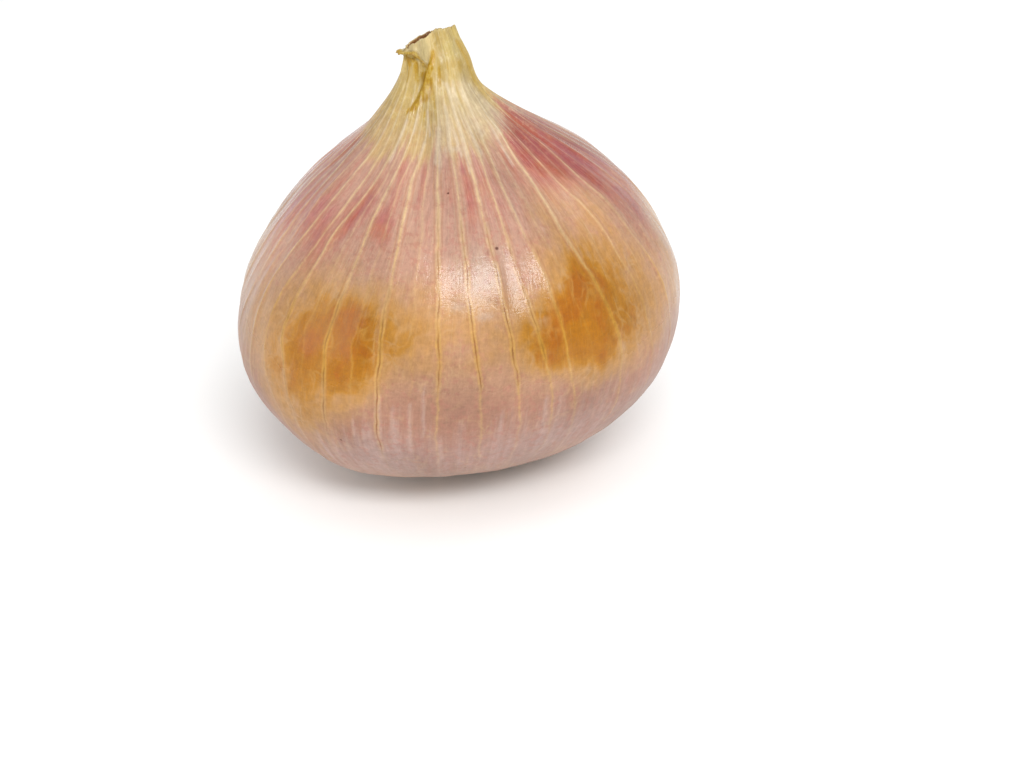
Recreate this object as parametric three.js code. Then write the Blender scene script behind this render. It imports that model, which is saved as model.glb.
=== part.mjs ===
// A whole red onion, dry and cured, standing on its root plate.
// Millimetres, +Z up. The bulb is one grown piece: the papery skin, the pinched
// dry neck and the root plate are all one closed solid.
import * as THREE from "three";

// ---- driving dimensions -------------------------------------------------
const BULB_DIAMETER = 75.5; // widest, across X
const BULB_HEIGHT = 75.3; // root plate to the highest corner of the dry neck
const FLAT_SPOT_RADIUS = 9.0; // the root plate, the only place it stands on
const NECK_START = 64.0; // height where the shoulder has become the neck
const NECK_DISH = 1.6; // how far the closed mouth of the neck is sunk below its rim
const SKIN_COLOUR = 0xb5826f; // dusty rose over straw
const SKIN_ROUGHNESS = 0.45;
const COLUMNS = 72; // divisions round the bulb
const MODEL_WIDTH = 75.5; // width that the section table below is written for
const MODEL_HEIGHT = 75.3;

// Horizontal sections of the bulb, from the root plate up. Each row is
// [height, half width, centre x, and four lobes: cos2, sin2, cos3, sin3, depth / width].
// The lobes make the section slightly squarish and three-cornered, as a grown
// bulb is; the last column flattens the neck from front to back.
const SECTIONS = [
  [0.0, 9.00, -0.93, -0.015, -0.026, -0.035, -0.038, 1.000],
  [2.0, 16.51, -1.05, -0.014, -0.024, -0.032, -0.039, 1.000],
  [5.0, 23.11, -1.23, -0.012, -0.021, -0.028, -0.039, 1.000],
  [9.0, 28.75, -1.43, -0.010, -0.017, -0.023, -0.039, 1.000],
  [14.0, 33.10, -1.55, -0.007, -0.012, -0.017, -0.038, 1.000],
  [20.0, 36.38, -1.46, -0.004, -0.005, -0.011, -0.034, 1.000],
  [26.0, 37.66, -1.12, -0.002, -0.001, -0.006, -0.029, 1.000],
  [32.0, 37.05, -0.57, -0.001, 0.001, -0.002, -0.024, 1.000],
  [38.0, 34.76, 0.05, -0.001, 0.001, -0.000, -0.019, 1.000],
  [44.0, 30.92, 0.56, -0.001, 0.000, 0.001, -0.015, 1.000],
  [50.0, 25.65, 0.71, -0.001, -0.000, 0.001, -0.011, 1.000],
  [54.0, 20.70, 0.38, -0.001, -0.001, 0.001, -0.009, 0.990],
  [58.0, 15.16, -0.50, -0.001, -0.001, 0.001, -0.006, 0.936],
  [61.0, 11.45, -1.53, -0.000, -0.000, 0.001, -0.004, 0.842],
  [64.0, 8.37, -2.48, -0.000, -0.000, 0.000, -0.002, 0.707],
  [67.5, 6.07, -2.98, 0.000, 0.000, 0.000, 0.000, 0.560],
  [70.5, 5.19, -3.07, 0.000, 0.000, 0.000, 0.000, 0.500],
  [73.0, 4.53, -3.59, 0.000, 0.000, 0.000, 0.000, 0.470],
  [76.0, 4.03, -4.24, 0.000, 0.000, 0.000, 0.000, 0.450],
];
const CENTRE_Y = -0.16; // sections are centred here, so the box is centred on the origin

// The torn upper edge of the dry neck slopes: height of the rim against x.
const RIM = [
  [-9.1, 71.5], [-8.15, 72.2], [-7.18, 72.8], [-5.57, 73.7], [-3.65, 74.6],
  [-2.86, 74.85], [-1.44, 74.85], [0.3, 75.3], [1.6, 75.3],
];
const NOMINAL_RIM = 75.0; // the rim height that the rows below are written for

// Heights of the rings of faces, closer together where the outline turns.
const ROWS = [
  0, 0.35, 0.9, 1.7, 2.8, 4.2, 6, 8, 10.5, 13.2, 16, 19, 22, 25, 28, 31, 34, 37, 40, 43,
  46, 48.5, 51, 53, 55, 57, 59, 60.8, 62.5, 64, 65.5, 67, 68.6, 70.2, 71.8, 73.4, 75,
];

// ---- helpers --------------------------------------------------------------
// Natural cubic spline through (xs, ys).
function naturalSpline(xs, ys) {
  const n = xs.length;
  const m = new Array(n).fill(0);
  const c = new Array(n).fill(0);
  const d = new Array(n).fill(0);
  for (let i = 1; i < n - 1; i++) {
    const h0 = xs[i] - xs[i - 1];
    const h1 = xs[i + 1] - xs[i];
    const rhs = (ys[i + 1] - ys[i]) / h1 - (ys[i] - ys[i - 1]) / h0;
    const w = (h0 + h1) / 3 - (h0 / 6) * c[i - 1];
    c[i] = h1 / 6 / w;
    d[i] = (rhs - (h0 / 6) * d[i - 1]) / w;
  }
  for (let i = n - 2; i > 0; i--) m[i] = d[i] - c[i] * m[i + 1];
  return (x) => {
    let i = 0;
    while (i < n - 2 && x > xs[i + 1]) i++;
    const h = xs[i + 1] - xs[i];
    const a = (xs[i + 1] - x) / h;
    const b = (x - xs[i]) / h;
    return a * ys[i] + b * ys[i + 1] + (((a ** 3 - a) * m[i] + (b ** 3 - b) * m[i + 1]) * h * h) / 6;
  };
}

const heights = SECTIONS.map((s) => s[0]);
const column = (k, f = (v) => v) => naturalSpline(heights, SECTIONS.map((s) => f(s[k])));
const halfWidthSquared = column(1, (v) => v * v);
const centreX = column(2);
const lobes = [3, 4, 5, 6].map((k) => column(k));
const depthRatio = column(7);
const wide = BULB_DIAMETER / MODEL_WIDTH;
const tall = BULB_HEIGHT / MODEL_HEIGHT;

function rimHeight(phi) {
  const x = -3.8 + 4.3 * Math.sin(phi);
  for (let i = 0; i < RIM.length - 1; i++) {
    if (x <= RIM[i + 1][0]) {
      const t = Math.max(0, (x - RIM[i][0]) / (RIM[i + 1][0] - RIM[i][0]));
      return RIM[i][1] + t * (RIM[i + 1][1] - RIM[i][1]);
    }
  }
  return RIM[RIM.length - 1][1];
}

// A point of the skin: phi is 0 at the front (-Y) and grows towards +X.
function skinPoint(row, phi) {
  let z = row;
  if (row > NECK_START) {
    z = NECK_START + ((row - NECK_START) * (rimHeight(phi) - NECK_START)) / (NOMINAL_RIM - NECK_START);
  }
  const lobe =
    1 +
    lobes[0](z) * Math.cos(2 * phi) +
    lobes[1](z) * Math.sin(2 * phi) +
    lobes[2](z) * Math.cos(3 * phi) +
    lobes[3](z) * Math.sin(3 * phi);
  const r = Math.sqrt(Math.max(halfWidthSquared(z), 0.01)) * lobe;
  return new THREE.Vector3(
    wide * (centreX(z) + r * Math.sin(phi)),
    wide * (CENTRE_Y * Math.min(1, row / 3) - r * Math.cos(phi) * depthRatio(z)),
    tall * z,
  );
}

// ---- the bulb ---------------------------------------------------------------
// A lathe turned from the mean outline, which starts and ends on its axis: the
// flat root plate, the skin up to the torn rim, then the dished mouth of the neck.
const rim = ROWS[ROWS.length - 1];
const profile = [new THREE.Vector2(0, 0)];
for (const h of ROWS) {
  const r = h === 0 ? FLAT_SPOT_RADIUS : Math.sqrt(halfWidthSquared(h));
  profile.push(new THREE.Vector2(r, h));
}
profile.push(new THREE.Vector2(2.2, rim - 0.6 * NECK_DISH));
profile.push(new THREE.Vector2(0, rim - NECK_DISH));

const geometry = new THREE.LatheGeometry(profile, COLUMNS);
geometry.rotateX(Math.PI / 2);

// Grow the turned shape into the real one, ring by ring.
const position = geometry.attributes.position;
const count = profile.length;
for (let i = 0; i <= COLUMNS; i++) {
  const phi = ((i % COLUMNS) / COLUMNS) * 2 * Math.PI;
  for (let j = 0; j < count; j++) {
    let p;
    if (j === 0) {
      p = new THREE.Vector3(wide * centreX(0), 0, 0);
    } else if (j <= ROWS.length) {
      p = skinPoint(ROWS[j - 1], phi);
      if (j === 1) {
        const k = FLAT_SPOT_RADIUS / SECTIONS[0][1];
        p.x = wide * centreX(0) + (p.x - wide * centreX(0)) * k;
        p.y *= k;
        p.z = 0;
      }
    } else {
      const mid = new THREE.Vector3(wide * -3.8, wide * CENTRE_Y, tall * (74.0 - NECK_DISH));
      const edge = skinPoint(rim, phi);
      p = j === count - 1 ? mid : edge.lerp(mid, 0.45);
      if (j === count - 2) p.z -= 0.35;
    }
    position.setXYZ(i * count + j, p.x, p.y, p.z);
  }
}
position.needsUpdate = true;
geometry.computeVertexNormals();

const skin = new THREE.MeshStandardMaterial({
  name: "papery_skin",
  color: SKIN_COLOUR,
  roughness: SKIN_ROUGHNESS,
  metalness: 0,
});
const bulb = new THREE.Mesh(geometry, skin);
bulb.name = "onion_bulb";

const onion = new THREE.Group();
onion.name = "red_onion";
onion.add(bulb);

export default onion;
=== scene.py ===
import math

import bpy
import numpy as np
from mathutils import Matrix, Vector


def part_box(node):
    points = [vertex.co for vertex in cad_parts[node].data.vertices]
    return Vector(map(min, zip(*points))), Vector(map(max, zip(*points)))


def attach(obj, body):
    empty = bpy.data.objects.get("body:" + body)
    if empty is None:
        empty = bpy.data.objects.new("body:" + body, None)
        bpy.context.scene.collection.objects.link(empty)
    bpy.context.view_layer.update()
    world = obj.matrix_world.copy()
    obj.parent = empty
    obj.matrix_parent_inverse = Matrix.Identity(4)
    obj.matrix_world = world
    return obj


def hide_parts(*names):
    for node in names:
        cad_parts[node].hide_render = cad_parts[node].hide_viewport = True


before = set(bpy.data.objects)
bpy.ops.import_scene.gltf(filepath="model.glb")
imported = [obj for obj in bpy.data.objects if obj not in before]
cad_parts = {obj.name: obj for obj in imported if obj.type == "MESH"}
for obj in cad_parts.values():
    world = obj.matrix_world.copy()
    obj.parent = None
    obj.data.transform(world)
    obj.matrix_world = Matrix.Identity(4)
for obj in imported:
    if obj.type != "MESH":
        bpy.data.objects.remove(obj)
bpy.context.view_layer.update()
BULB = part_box("onion_bulb")
TOP = BULB[1][2] * 1000.0  # mm

MM = 0.001
RNG = np.random.default_rng(7041)


# ---------------------------------------------------------------- numbers
def hermite(xs, ys):
    """A smooth curve through a table, flat outside it."""
    xs, ys = np.asarray(xs, float), np.asarray(ys, float)
    m = np.gradient(ys, xs)
    d = np.diff(ys) / np.diff(xs)
    for i in range(1, len(xs) - 1):
        if d[i - 1] * d[i] <= 0:
            m[i] *= 0.25

    def f(t):
        t = np.clip(np.asarray(t, float), xs[0], xs[-1])
        i = np.clip(np.searchsorted(xs, t) - 1, 0, len(xs) - 2)
        h = xs[i + 1] - xs[i]
        s = (t - xs[i]) / h
        return (
            (2 * s**3 - 3 * s**2 + 1) * ys[i]
            + (s**3 - 2 * s**2 + s) * h * m[i]
            + (-2 * s**3 + 3 * s**2) * ys[i + 1]
            + (s**3 - s**2) * h * m[i + 1]
        )

    return f


def natural(x, y):
    x, y = np.asarray(x, float), np.asarray(y, float)
    n = len(x)
    a, b = np.zeros((n, n)), np.zeros(n)
    a[0, 0] = a[-1, -1] = 1
    for i in range(1, n - 1):
        h0, h1 = x[i] - x[i - 1], x[i + 1] - x[i]
        a[i, i - 1], a[i, i], a[i, i + 1] = h0 / 6, (h0 + h1) / 3, h1 / 6
        b[i] = (y[i + 1] - y[i]) / h1 - (y[i] - y[i - 1]) / h0
    m = np.linalg.solve(a, b)

    def f(t):
        t = np.asarray(t, float)
        i = np.clip(np.searchsorted(x, t) - 1, 0, n - 2)
        h = x[i + 1] - x[i]
        p, q = (x[i + 1] - t) / h, (t - x[i]) / h
        return p * y[i] + q * y[i + 1] + ((p**3 - p) * m[i] + (q**3 - q) * m[i + 1]) * h * h / 6

    return f


def step(x, lo, hi):
    t = np.clip((np.asarray(x, float) - lo) / (hi - lo), 0, 1)
    return t * t * (3 - 2 * t)


def bell(x, s):
    return np.exp(-0.5 * (np.asarray(x, float) / s) ** 2)


def turn(a):
    """Degrees folded to -180..180."""
    return (np.asarray(a, float) + 180.0) % 360.0 - 180.0


class Waves:
    """Smooth noise round the bulb: a sum of waves, whole numbers of them round the axis."""

    def __init__(self, seed, count, around, along, reach=1.0):
        g = np.random.default_rng(seed)
        self.m = g.integers(around[0], around[1] + 1, count)
        self.q = 2 * np.pi / g.uniform(along[0], along[1], count)
        self.p = g.uniform(0, 2 * np.pi, (2, count))
        self.a = g.uniform(0.5, 1.0, count)
        self.a *= reach / math.sqrt((self.a**2).sum() / 4)

    def __call__(self, phi, h):
        r = np.radians(phi)
        out = np.zeros(np.broadcast(phi, h).shape)
        for m, q, p0, p1, a in zip(self.m, self.q, self.p[0], self.p[1], self.a):
            out = out + a * np.cos(m * r + p0) * np.cos(q * h + p1)
        return out


# ---------------------------------------------------------------- the bulb's form, in mm
FORM = np.array([
    [0.0, 9.00, -0.93, -0.015, -0.026, -0.035, -0.038, 1.000],
    [2.0, 16.51, -1.05, -0.014, -0.024, -0.032, -0.039, 1.000],
    [5.0, 23.11, -1.23, -0.012, -0.021, -0.028, -0.039, 1.000],
    [9.0, 28.75, -1.43, -0.010, -0.017, -0.023, -0.039, 1.000],
    [14.0, 33.10, -1.55, -0.007, -0.012, -0.017, -0.038, 1.000],
    [20.0, 36.38, -1.46, -0.004, -0.005, -0.011, -0.034, 1.000],
    [26.0, 37.66, -1.12, -0.002, -0.001, -0.006, -0.029, 1.000],
    [32.0, 37.05, -0.57, -0.001, 0.001, -0.002, -0.024, 1.000],
    [38.0, 34.76, 0.05, -0.001, 0.001, 0.0, -0.019, 1.000],
    [44.0, 30.92, 0.56, -0.001, 0.0, 0.001, -0.015, 1.000],
    [50.0, 25.65, 0.71, -0.001, 0.0, 0.001, -0.011, 1.000],
    [54.0, 20.70, 0.38, -0.001, -0.001, 0.001, -0.009, 0.990],
    [58.0, 15.16, -0.50, -0.001, -0.001, 0.001, -0.006, 0.936],
    [61.0, 11.45, -1.53, 0.0, 0.0, 0.001, -0.004, 0.842],
    [64.0, 8.37, -2.48, 0.0, 0.0, 0.0, -0.002, 0.707],
    [67.5, 6.07, -2.98, 0.0, 0.0, 0.0, 0.0, 0.560],
    [70.5, 5.19, -3.07, 0.0, 0.0, 0.0, 0.0, 0.500],
    [73.0, 4.53, -3.59, 0.0, 0.0, 0.0, 0.0, 0.470],
    [76.0, 4.03, -4.24, 0.0, 0.0, 0.0, 0.0, 0.450],
])
F_R2 = natural(FORM[:, 0], FORM[:, 1] ** 2)
F_CX = natural(FORM[:, 0], FORM[:, 2])
F_LOBE = [natural(FORM[:, 0], FORM[:, k]) for k in (3, 4, 5, 6)]
F_FLAT = natural(FORM[:, 0], FORM[:, 7])
RIM_X = [-9.1, -8.15, -7.18, -5.57, -3.65, -2.86, -1.44, 0.3, 1.6]
RIM_Z = [71.5, 72.2, 72.8, 73.7, 74.6, 74.85, 74.9, 75.3, 75.3]


def section(z, phi):
    """The outside at height z and azimuth phi; 0 faces -Y."""
    a = np.radians(phi)
    r = np.sqrt(np.maximum(F_R2(z), 0.01)) * (
        1
        + F_LOBE[0](z) * np.cos(2 * a)
        + F_LOBE[1](z) * np.sin(2 * a)
        + F_LOBE[2](z) * np.cos(3 * a)
        + F_LOBE[3](z) * np.sin(3 * a)
    )
    return F_CX(z) + r * np.sin(a), -0.16 * np.minimum(1, z / 3) - r * np.cos(a) * F_FLAT(z)


# ---------------------------------------------------------------- veins: height -> azimuth
VEINS = {
    "l1": {75: -52, 64: -55, 55: -57, 46: -58.5, 40: -61, 34: -60, 29: -59, 15: -57, 0: -57},
    "l2": {75: -44, 64: -46, 55: -48.5, 46: -50.5, 40: -52.5, 34: -53, 27.5: -49.8, 21: -45.5, 10: -44, 0: -44},
    "a": {75: -30, 66: -32, 61.6: -35, 58: -39.5, 54.5: -41.8, 50: -45, 46: -45.8, 40: -46.4, 36: -46.2, 33: -45, 30: -42.8, 24: -40, 15: -38.5, 0: -38},
    "b": {75: -20, 64: -23, 60: -28, 57: -31, 54.8: -32.3, 50: -32.3, 45: -31.7, 38: -32.2, 34: -31.5, 31.9: -31, 29: -30, 24: -29.6, 15: -30, 0: -30},
    "c": {75: -8, 66: -11, 61.5: -14.5, 58: -19, 56: -21.3, 53.9: -20.9, 50: -19.7, 45: -19.1, 38.7: -18.2, 34: -17.1, 29: -16.5, 22: -16, 0: -16},
    "d": {75: 0, 66: -1, 63.9: -2.5, 61.4: -5.2, 58.8: -7.7, 56: -8, 53: -7.4, 49.3: -6.3, 45: -5.2, 43: -4.7, 38.7: -3.7, 35: -2.9, 32: -2.4, 25: -2.2, 0: -2},
    "e": {75: 8, 66: 7, 63.9: 5.5, 60.9: 3.5, 58.5: 1.6, 55.5: 1.3, 50.4: 1.9, 47.8: 2.5, 45.2: 3.2, 40.8: 4.3, 37.2: 5.6, 34.9: 6.5, 28: 8, 15: 9, 0: 9},
    "f": {75: 17, 66.4: 16, 63.5: 15.5, 60.9: 13.3, 59: 11.5, 56: 10.5, 53.1: 10.1, 49.9: 11, 45.5: 12.1, 40.4: 13.8, 36.2: 15.2, 34.7: 15.6, 28: 17.5, 15: 19, 0: 19},
    "g": {75: 26, 66: 25, 62: 23, 59.8: 20.9, 57.8: 18.4, 55.5: 17.2, 51.3: 16.9, 47.6: 17.6, 44.3: 19.3, 39: 21.4, 35.4: 23.2, 28: 26, 15: 28, 0: 28},
    "h": {75: 37, 66: 36, 62: 31, 60.5: 27.9, 57.9: 25.2, 55.8: 23.3, 51.4: 23.5, 48.7: 24.3, 45.8: 26, 42.5: 27.4, 38.5: 28.8, 36.5: 29.3, 28: 32, 15: 36, 0: 37},
    "i": {75: 52, 67: 50, 65: 51, 62.8: 46.9, 61: 45, 59: 41.4, 57.6: 39.8, 55: 38.9, 51: 38.2, 47: 39.6, 43.2: 42.2, 38.8: 44.5, 34.2: 46, 28: 47, 15: 49, 0: 50},
    "j": {75: 66, 66: 64, 60.5: 55.6, 57.5: 52.5, 54: 51.6, 51.9: 53.2, 45: 55, 38: 57.5, 30: 59, 15: 61, 0: 62},
    "k": {75: 80, 66: 76, 60: 69, 57: 67, 54: 65, 50: 66, 46: 66.4, 41.8: 68.2, 39.5: 68.8, 34: 70, 25: 71, 0: 73},
    "r2": {75: 95, 66: 92, 60: 87, 53: 85, 48.7: 84.3, 40: 86, 30: 87, 0: 88},
}
STRENGTH = {"l1": 0.8, "l2": 0.75, "a": 1.0, "b": 0.95, "c": 1.0, "d": 0.95, "e": 0.9, "f": 1.0, "g": 0.85,
            "h": 0.75, "i": 1.0, "j": 0.5, "k": 0.6, "r2": 0.42}
# where a vein's dry top has split along its middle: (low, high, depth)
SPLITS = {"d": (29, 57, 0.70), "e": (29, 55, 0.95), "f": (29, 55, 0.95), "g": (31, 54, 0.65), "h": (36, 50, 0.35),
          "c": (17, 46, 0.95), "b": (20, 47, 0.80), "a": (20, 45, 0.42), "i": (30, 53, 0.32)}


def vein_table(d):
    k = sorted(d)
    return hermite(k, [d[x] for x in k])


def make_veins():
    rows = []
    for name in VEINS:
        f = vein_table(VEINS[name])
        rows.append(dict(at=f, main=True, k=STRENGTH[name], split=SPLITS.get(name), key=float(f(45.0))))
    far = [97, 109, 119, 131, 141, 153, 164, 176, 187, 198, 209, 220, 232, 242, 254, 265, 277, 288]
    for n, a in enumerate(far):
        g = np.random.default_rng(900 + n)
        hs = np.array([0, 12, 22, 30, 38, 46, 54, 60, 66, 75.0])
        wig = np.cumsum(g.normal(0, 0.75, len(hs)))
        wig -= wig.mean()
        neck = 0.10 * (turn(a) - 180 * np.sign(turn(a))) * step(hs, 52, 66)
        f = hermite(hs, (a if a < 180 else a - 360) + wig - neck * 0.3)
        low = g.uniform(30, 40)
        rows.append(dict(at=f, main=True, k=g.uniform(0.6, 1.0), key=float(f(45.0)),
                         split=(low, low + g.uniform(8, 18), g.uniform(0.3, 0.9)) if g.random() < 0.5 else None))
    rows.sort(key=lambda r: r["key"])
    out = []
    for n, r in enumerate(rows):
        out.append(r)
        nxt = rows[(n + 1) % len(rows)]
        gap = (nxt["key"] - r["key"]) % 360
        if gap > 9.6:
            g = np.random.default_rng(300 + n)
            ease = g.uniform(0.43, 0.57)
            lift = 0 if n + 1 < len(rows) else 360

            def between(h, a=r["at"], b=nxt["at"], e=ease, s=lift, w=g.uniform(-0.05, 0.05)):
                return a(h) * (1 - e - w * np.sin(h / 9.0)) + (b(h) + s) * (e + w * np.sin(h / 9.0))

            k = g.uniform(0.35, 0.6)
            if 44 < float(between(45.0)) < 100:
                k *= 0.5
            out.append(dict(at=between, main=False, k=k, split=None, key=float(between(45.0))))
    return out


LINES = make_veins()
NV = len(LINES)
FR = np.array([0.0, 0.07, 0.18, 0.34, 0.5, 0.66, 0.82, 0.93])
NS = len(FR)
NC = NV * NS

# ---------------------------------------------------------------- rows
z_dense = np.linspace(0, 61, 6001)
xr, _ = section(z_dense, 90.0)
arc = np.concatenate([[0], np.cumsum(np.hypot(np.diff(xr), np.diff(z_dense)))])
n_body = int(round(arc[-1] / 0.88))
body_z = np.interp(np.linspace(0, arc[-1], n_body + 1), arc, z_dense)
body_z[0] = 0.0
neck_rows = np.linspace(61, 75, 67)[1:]
ROW = np.concatenate([body_z, neck_rows])
NB = len(ROW)


def rim_x(phi):
    return -3.8 + 4.3 * np.sin(np.radians(phi))


def rim_z(phi):
    """Top edge: ragged, with the front a touch lower than the back on the open left half."""
    z = np.interp(rim_x(phi), RIM_X, RIM_Z)
    front = np.cos(np.radians(phi))
    left = step(-rim_x(phi), 3.0, 4.4)
    z = z - 0.24 * left * step(front, -0.25, 0.35)
    z = z + 0.07 * Waves(11, 9, (5, 17), (40, 60))(phi, 0 * phi) + 0.045 * Waves(12, 8, (23, 61), (40, 60))(phi, 0 * phi) * (1 - 0.7 * left)
    return z


def mouth_gap(x):
    """Half the width of the open slit at the top of the neck."""
    return 0.05 + 0.56 * step(x, -7.7, -6.4) * step(-x, 3.3, 4.8)


# azimuth of every column at every row (degrees, unwrapped)
lines = np.array([ln["at"](ROW) for ln in LINES])  # NV x NB
lines = np.concatenate([lines, lines[:1] + 360.0])
for n in range(NV):
    g = np.random.default_rng(1200 + n)
    shake = sum(a * np.sin(2 * np.pi * ROW / w + g.uniform(0, 6.28)) for a, w in ((0.16, g.uniform(7, 11)), (0.10, g.uniform(3.6, 5.5)), (0.045, g.uniform(1.9, 2.6))))
    lines[n] += shake * step(-ROW, -68, -58) * (1.0 if LINES[n]["main"] else 1.8)
lines[NV] = lines[0] + 360.0
base = lines[0].copy()
for n in range(1, NV + 1):  # keep a smallest lane of 2.2 degrees
    lines[n] = np.maximum(lines[n], lines[n - 1] + 2.2)
over = lines[NV] - (base + 360.0)
lines[1:] -= over * (np.arange(1, NV + 1)[:, None] / NV)
phi_cols = np.zeros((NB, NC))
for n in range(NV):
    for s in range(NS):
        phi_cols[:, n * NS + s] = lines[n] * (1 - FR[s]) + lines[n + 1] * FR[s]
PRESS = hermite([64, 66, 67.5, 69, 70.5, 72, 73, 74, 75], [0, 0.01, 0.04, 0.13, 0.28, 0.47, 0.62, 0.80, 1.0])


def slit_y(phi):
    """The line the front and back skins are pressed onto, seen from above: a slack S."""
    a = np.radians(phi)
    return 0.30 * np.sin(a + 0.6) + 0.22 * np.sin(2.0 * np.abs(turn(phi)) * math.pi / 180.0 - 0.8) * np.sin(a)


rr = ROW[:, None]
PH = phi_cols
Zrim = rim_z(PH)
H = np.where(rr > 64, 64 + (rr - 64) * (Zrim - 64) / 11.0, rr + 0 * PH)
X, Y = section(H, PH)
# the neck's top is pressed flat: the depth narrows to the thickness of the dry skins there
press = PRESS(rr) * np.ones_like(PH)
c = np.cos(np.radians(PH))
y_top = -np.sign(c) * np.abs(c) ** 0.62 * (0.42 + mouth_gap(rim_x(PH)))
Y = Y * (1 - press) + (y_top + slit_y(PH)) * press
P = np.stack([X, Y, H], -1)


def arc_scale(h, phi):
    """mm along the skin for one degree of azimuth."""
    a = np.radians(phi)
    r = np.sqrt(np.maximum(F_R2(h), 0.01))
    return np.hypot(r * np.cos(a), r * F_FLAT(h) * np.sin(a)) * math.pi / 180.0


S = arc_scale(H, PH)

# ---------------------------------------------------------------- vein prominence
PROM_H = hermite([0, 6, 14, 22, 30, 38, 46, 54, 61, 64, 67, 71, 76], [0.15, 0.25, 0.40, 0.65, 0.95, 0.98, 0.98, 1, 0.95, 0.8, 0.5, 0.28, 0.2])
SIDE_H = hermite([0, 20, 30, 42, 50, 56, 62, 67, 76], [0.1, 0.2, 0.3, 0.45, 0.65, 0.75, 0.75, 0.4, 0.2])
prom = np.zeros((NV, NB))
crack = np.zeros((NV, NB))
for n, ln in enumerate(LINES):
    wob = 1 + 0.22 * np.sin(ROW / 3.1 + 1.7 * n) * np.sin(ROW / 7.7 + 0.9 * n)
    prom[n] = ln["k"] * (PROM_H(ROW) if ln["main"] else SIDE_H(ROW)) * wob
    if ln["split"]:
        lo, hi, d = ln["split"]
        crack[n] = d * step(ROW, lo, lo + 4) * step(-ROW, -hi, -hi + 9) * (0.75 + 0.25 * np.sin(ROW * 1.3 + n))
# the short pair of lines low on the left of the front
k24 = int(np.argmin([abs(ln["key"] + 25.0) for ln in LINES]))
prom[k24] = np.maximum(prom[k24], 0.42 * step(ROW, 28, 31) * step(-ROW, -39, -35))

col = np.arange(NC)
lane, sub = col // NS, col % NS
near = np.where(sub <= 4, lane, (lane + 1) % NV)
frac_mm = np.where(sub <= 4, FR[sub], FR[sub] - 1.0)
width = (lines[1:] - lines[:-1])  # NV x NB, degrees
W = width[lane].T * S  # NB x NC, mm
D = frac_mm[None, :] * W
core = np.minimum(0.27, 0.15 * W)
PR = prom[near].T
CR = crack[near].T

# ---------------------------------------------------------------- relief, mm outwards
relief = np.zeros((NB, NC))
up = step(H, 3, 12)
relief += 0.20 * Waves(21, 12, (2, 6), (26, 60))(PH, H) * step(H, 2, 10) * step(-H, -66, -58) * 0.55
relief += 0.075 * Waves(22, 14, (7, 16), (16, 40))(PH, H) * up * step(-H, -70, -60)
relief += 0.030 * Waves(23, 16, (18, 44), (9, 24))(PH, H) * up
fine = Waves(24, 30, (60, 150), (6, 20))(PH, H)
relief += 0.014 * fine * step(H, 4, 14) * step(-H, -62, -56)
# ribs with a groove where the vein has split
rib = bell(D, 0.36) * PR
relief += 0.080 * bell(D, 0.31) * PR * step(-H, -72, -60) + 0.05 * rib * step(H, 60, 66)
relief -= 0.055 * bell(D, 0.10) * CR
# the skin sags a little between the main veins
main = np.array([ln["main"] for ln in LINES])
flute = np.abs(frac_mm)[None, :] * 2
relief -= (0.07 + 0.05 * step(H, 46, 58)) * np.sin(np.pi * flute * 0.5) ** 2 * step(H, 8, 24) * PR.clip(0, 1) * step(W, 0.8, 2.5)
# pleats gather into the neck
gather = step(H, 56, 65)
pleat = Waves(31, 14, (14, 34), (30, 80))(PH, H)
relief += 0.055 * pleat * gather * step(-H, -75.5, -72) * (1 - 0.45 * step(H, 62, 67))
thread = Waves(32, 22, (36, 90), (12, 40))(PH, H)
relief += 0.026 * thread * step(H, 54, 60) * (1 - 0.62 * step(H, 62, 67))
# the skin draws together towards the root plate
root_in = step(-H, -9, -1.0)
relief += 0.13 * Waves(33, 16, (16, 40), (8, 20))(PH, H) * root_in * step(H, 0.15, 1.2)
relief += 0.05 * Waves(34, 18, (44, 90), (5, 14))(PH, H) * root_in * step(H, 0.15, 1.0)
# two slack places and one fullness low on the front left
for a0, h0, amount in ((-50, 13, -0.35), (-33, 9, 0.38), (-7, 6.5, -0.38)):
    relief += amount * bell(turn(PH - a0) * S, 6.5) * bell(H - h0, 4.5)

# ---- the overlap on the neck: a sheet from the right laps over the left one
LAP = hermite(
    [62.9, 64.1, 65.4, 66.3, 67.7, 69.3, 70.8, 72.0, 73.1, 74.0, 75.4],
    [-35.8, -30.7, -24.4, -22.6, -19.5, -15.6, -9.7, -5.2, -2.0, -1.0, -1.0],
)
lap_s = turn(PH - LAP(H)) * S  # mm right of the sheet's edge
lap_on = step(H, 62.3, 65.0)
lap_high = 1 - 0.75 * step(H, 69.5, 72.5)
relief += lap_on * lap_high * 0.30 * step(lap_s, -0.16, 0.34) * np.exp(-np.maximum(lap_s, 0) / 5.0) * step(-np.abs(turn(PH)), -95, -60)
relief -= lap_on * lap_high * 0.12 * bell(lap_s + 0.36, 0.32) * step(-H, -73.5, -71.5)
relief += lap_on * lap_high * 0.08 * bell(lap_s - 0.38, 0.32)


def thread_line(pts, width_mm):
    hs, az = [p[1] for p in pts], [p[0] for p in pts]
    o = np.argsort(hs)
    f = hermite(np.array(hs)[o], np.array(az)[o])
    s = turn(PH - f(H)) * S
    ends = step(H, min(hs) - 0.4, min(hs) + 0.6) * step(-H, -max(hs) - 0.2, -max(hs) + 0.6)
    return s, ends


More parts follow.
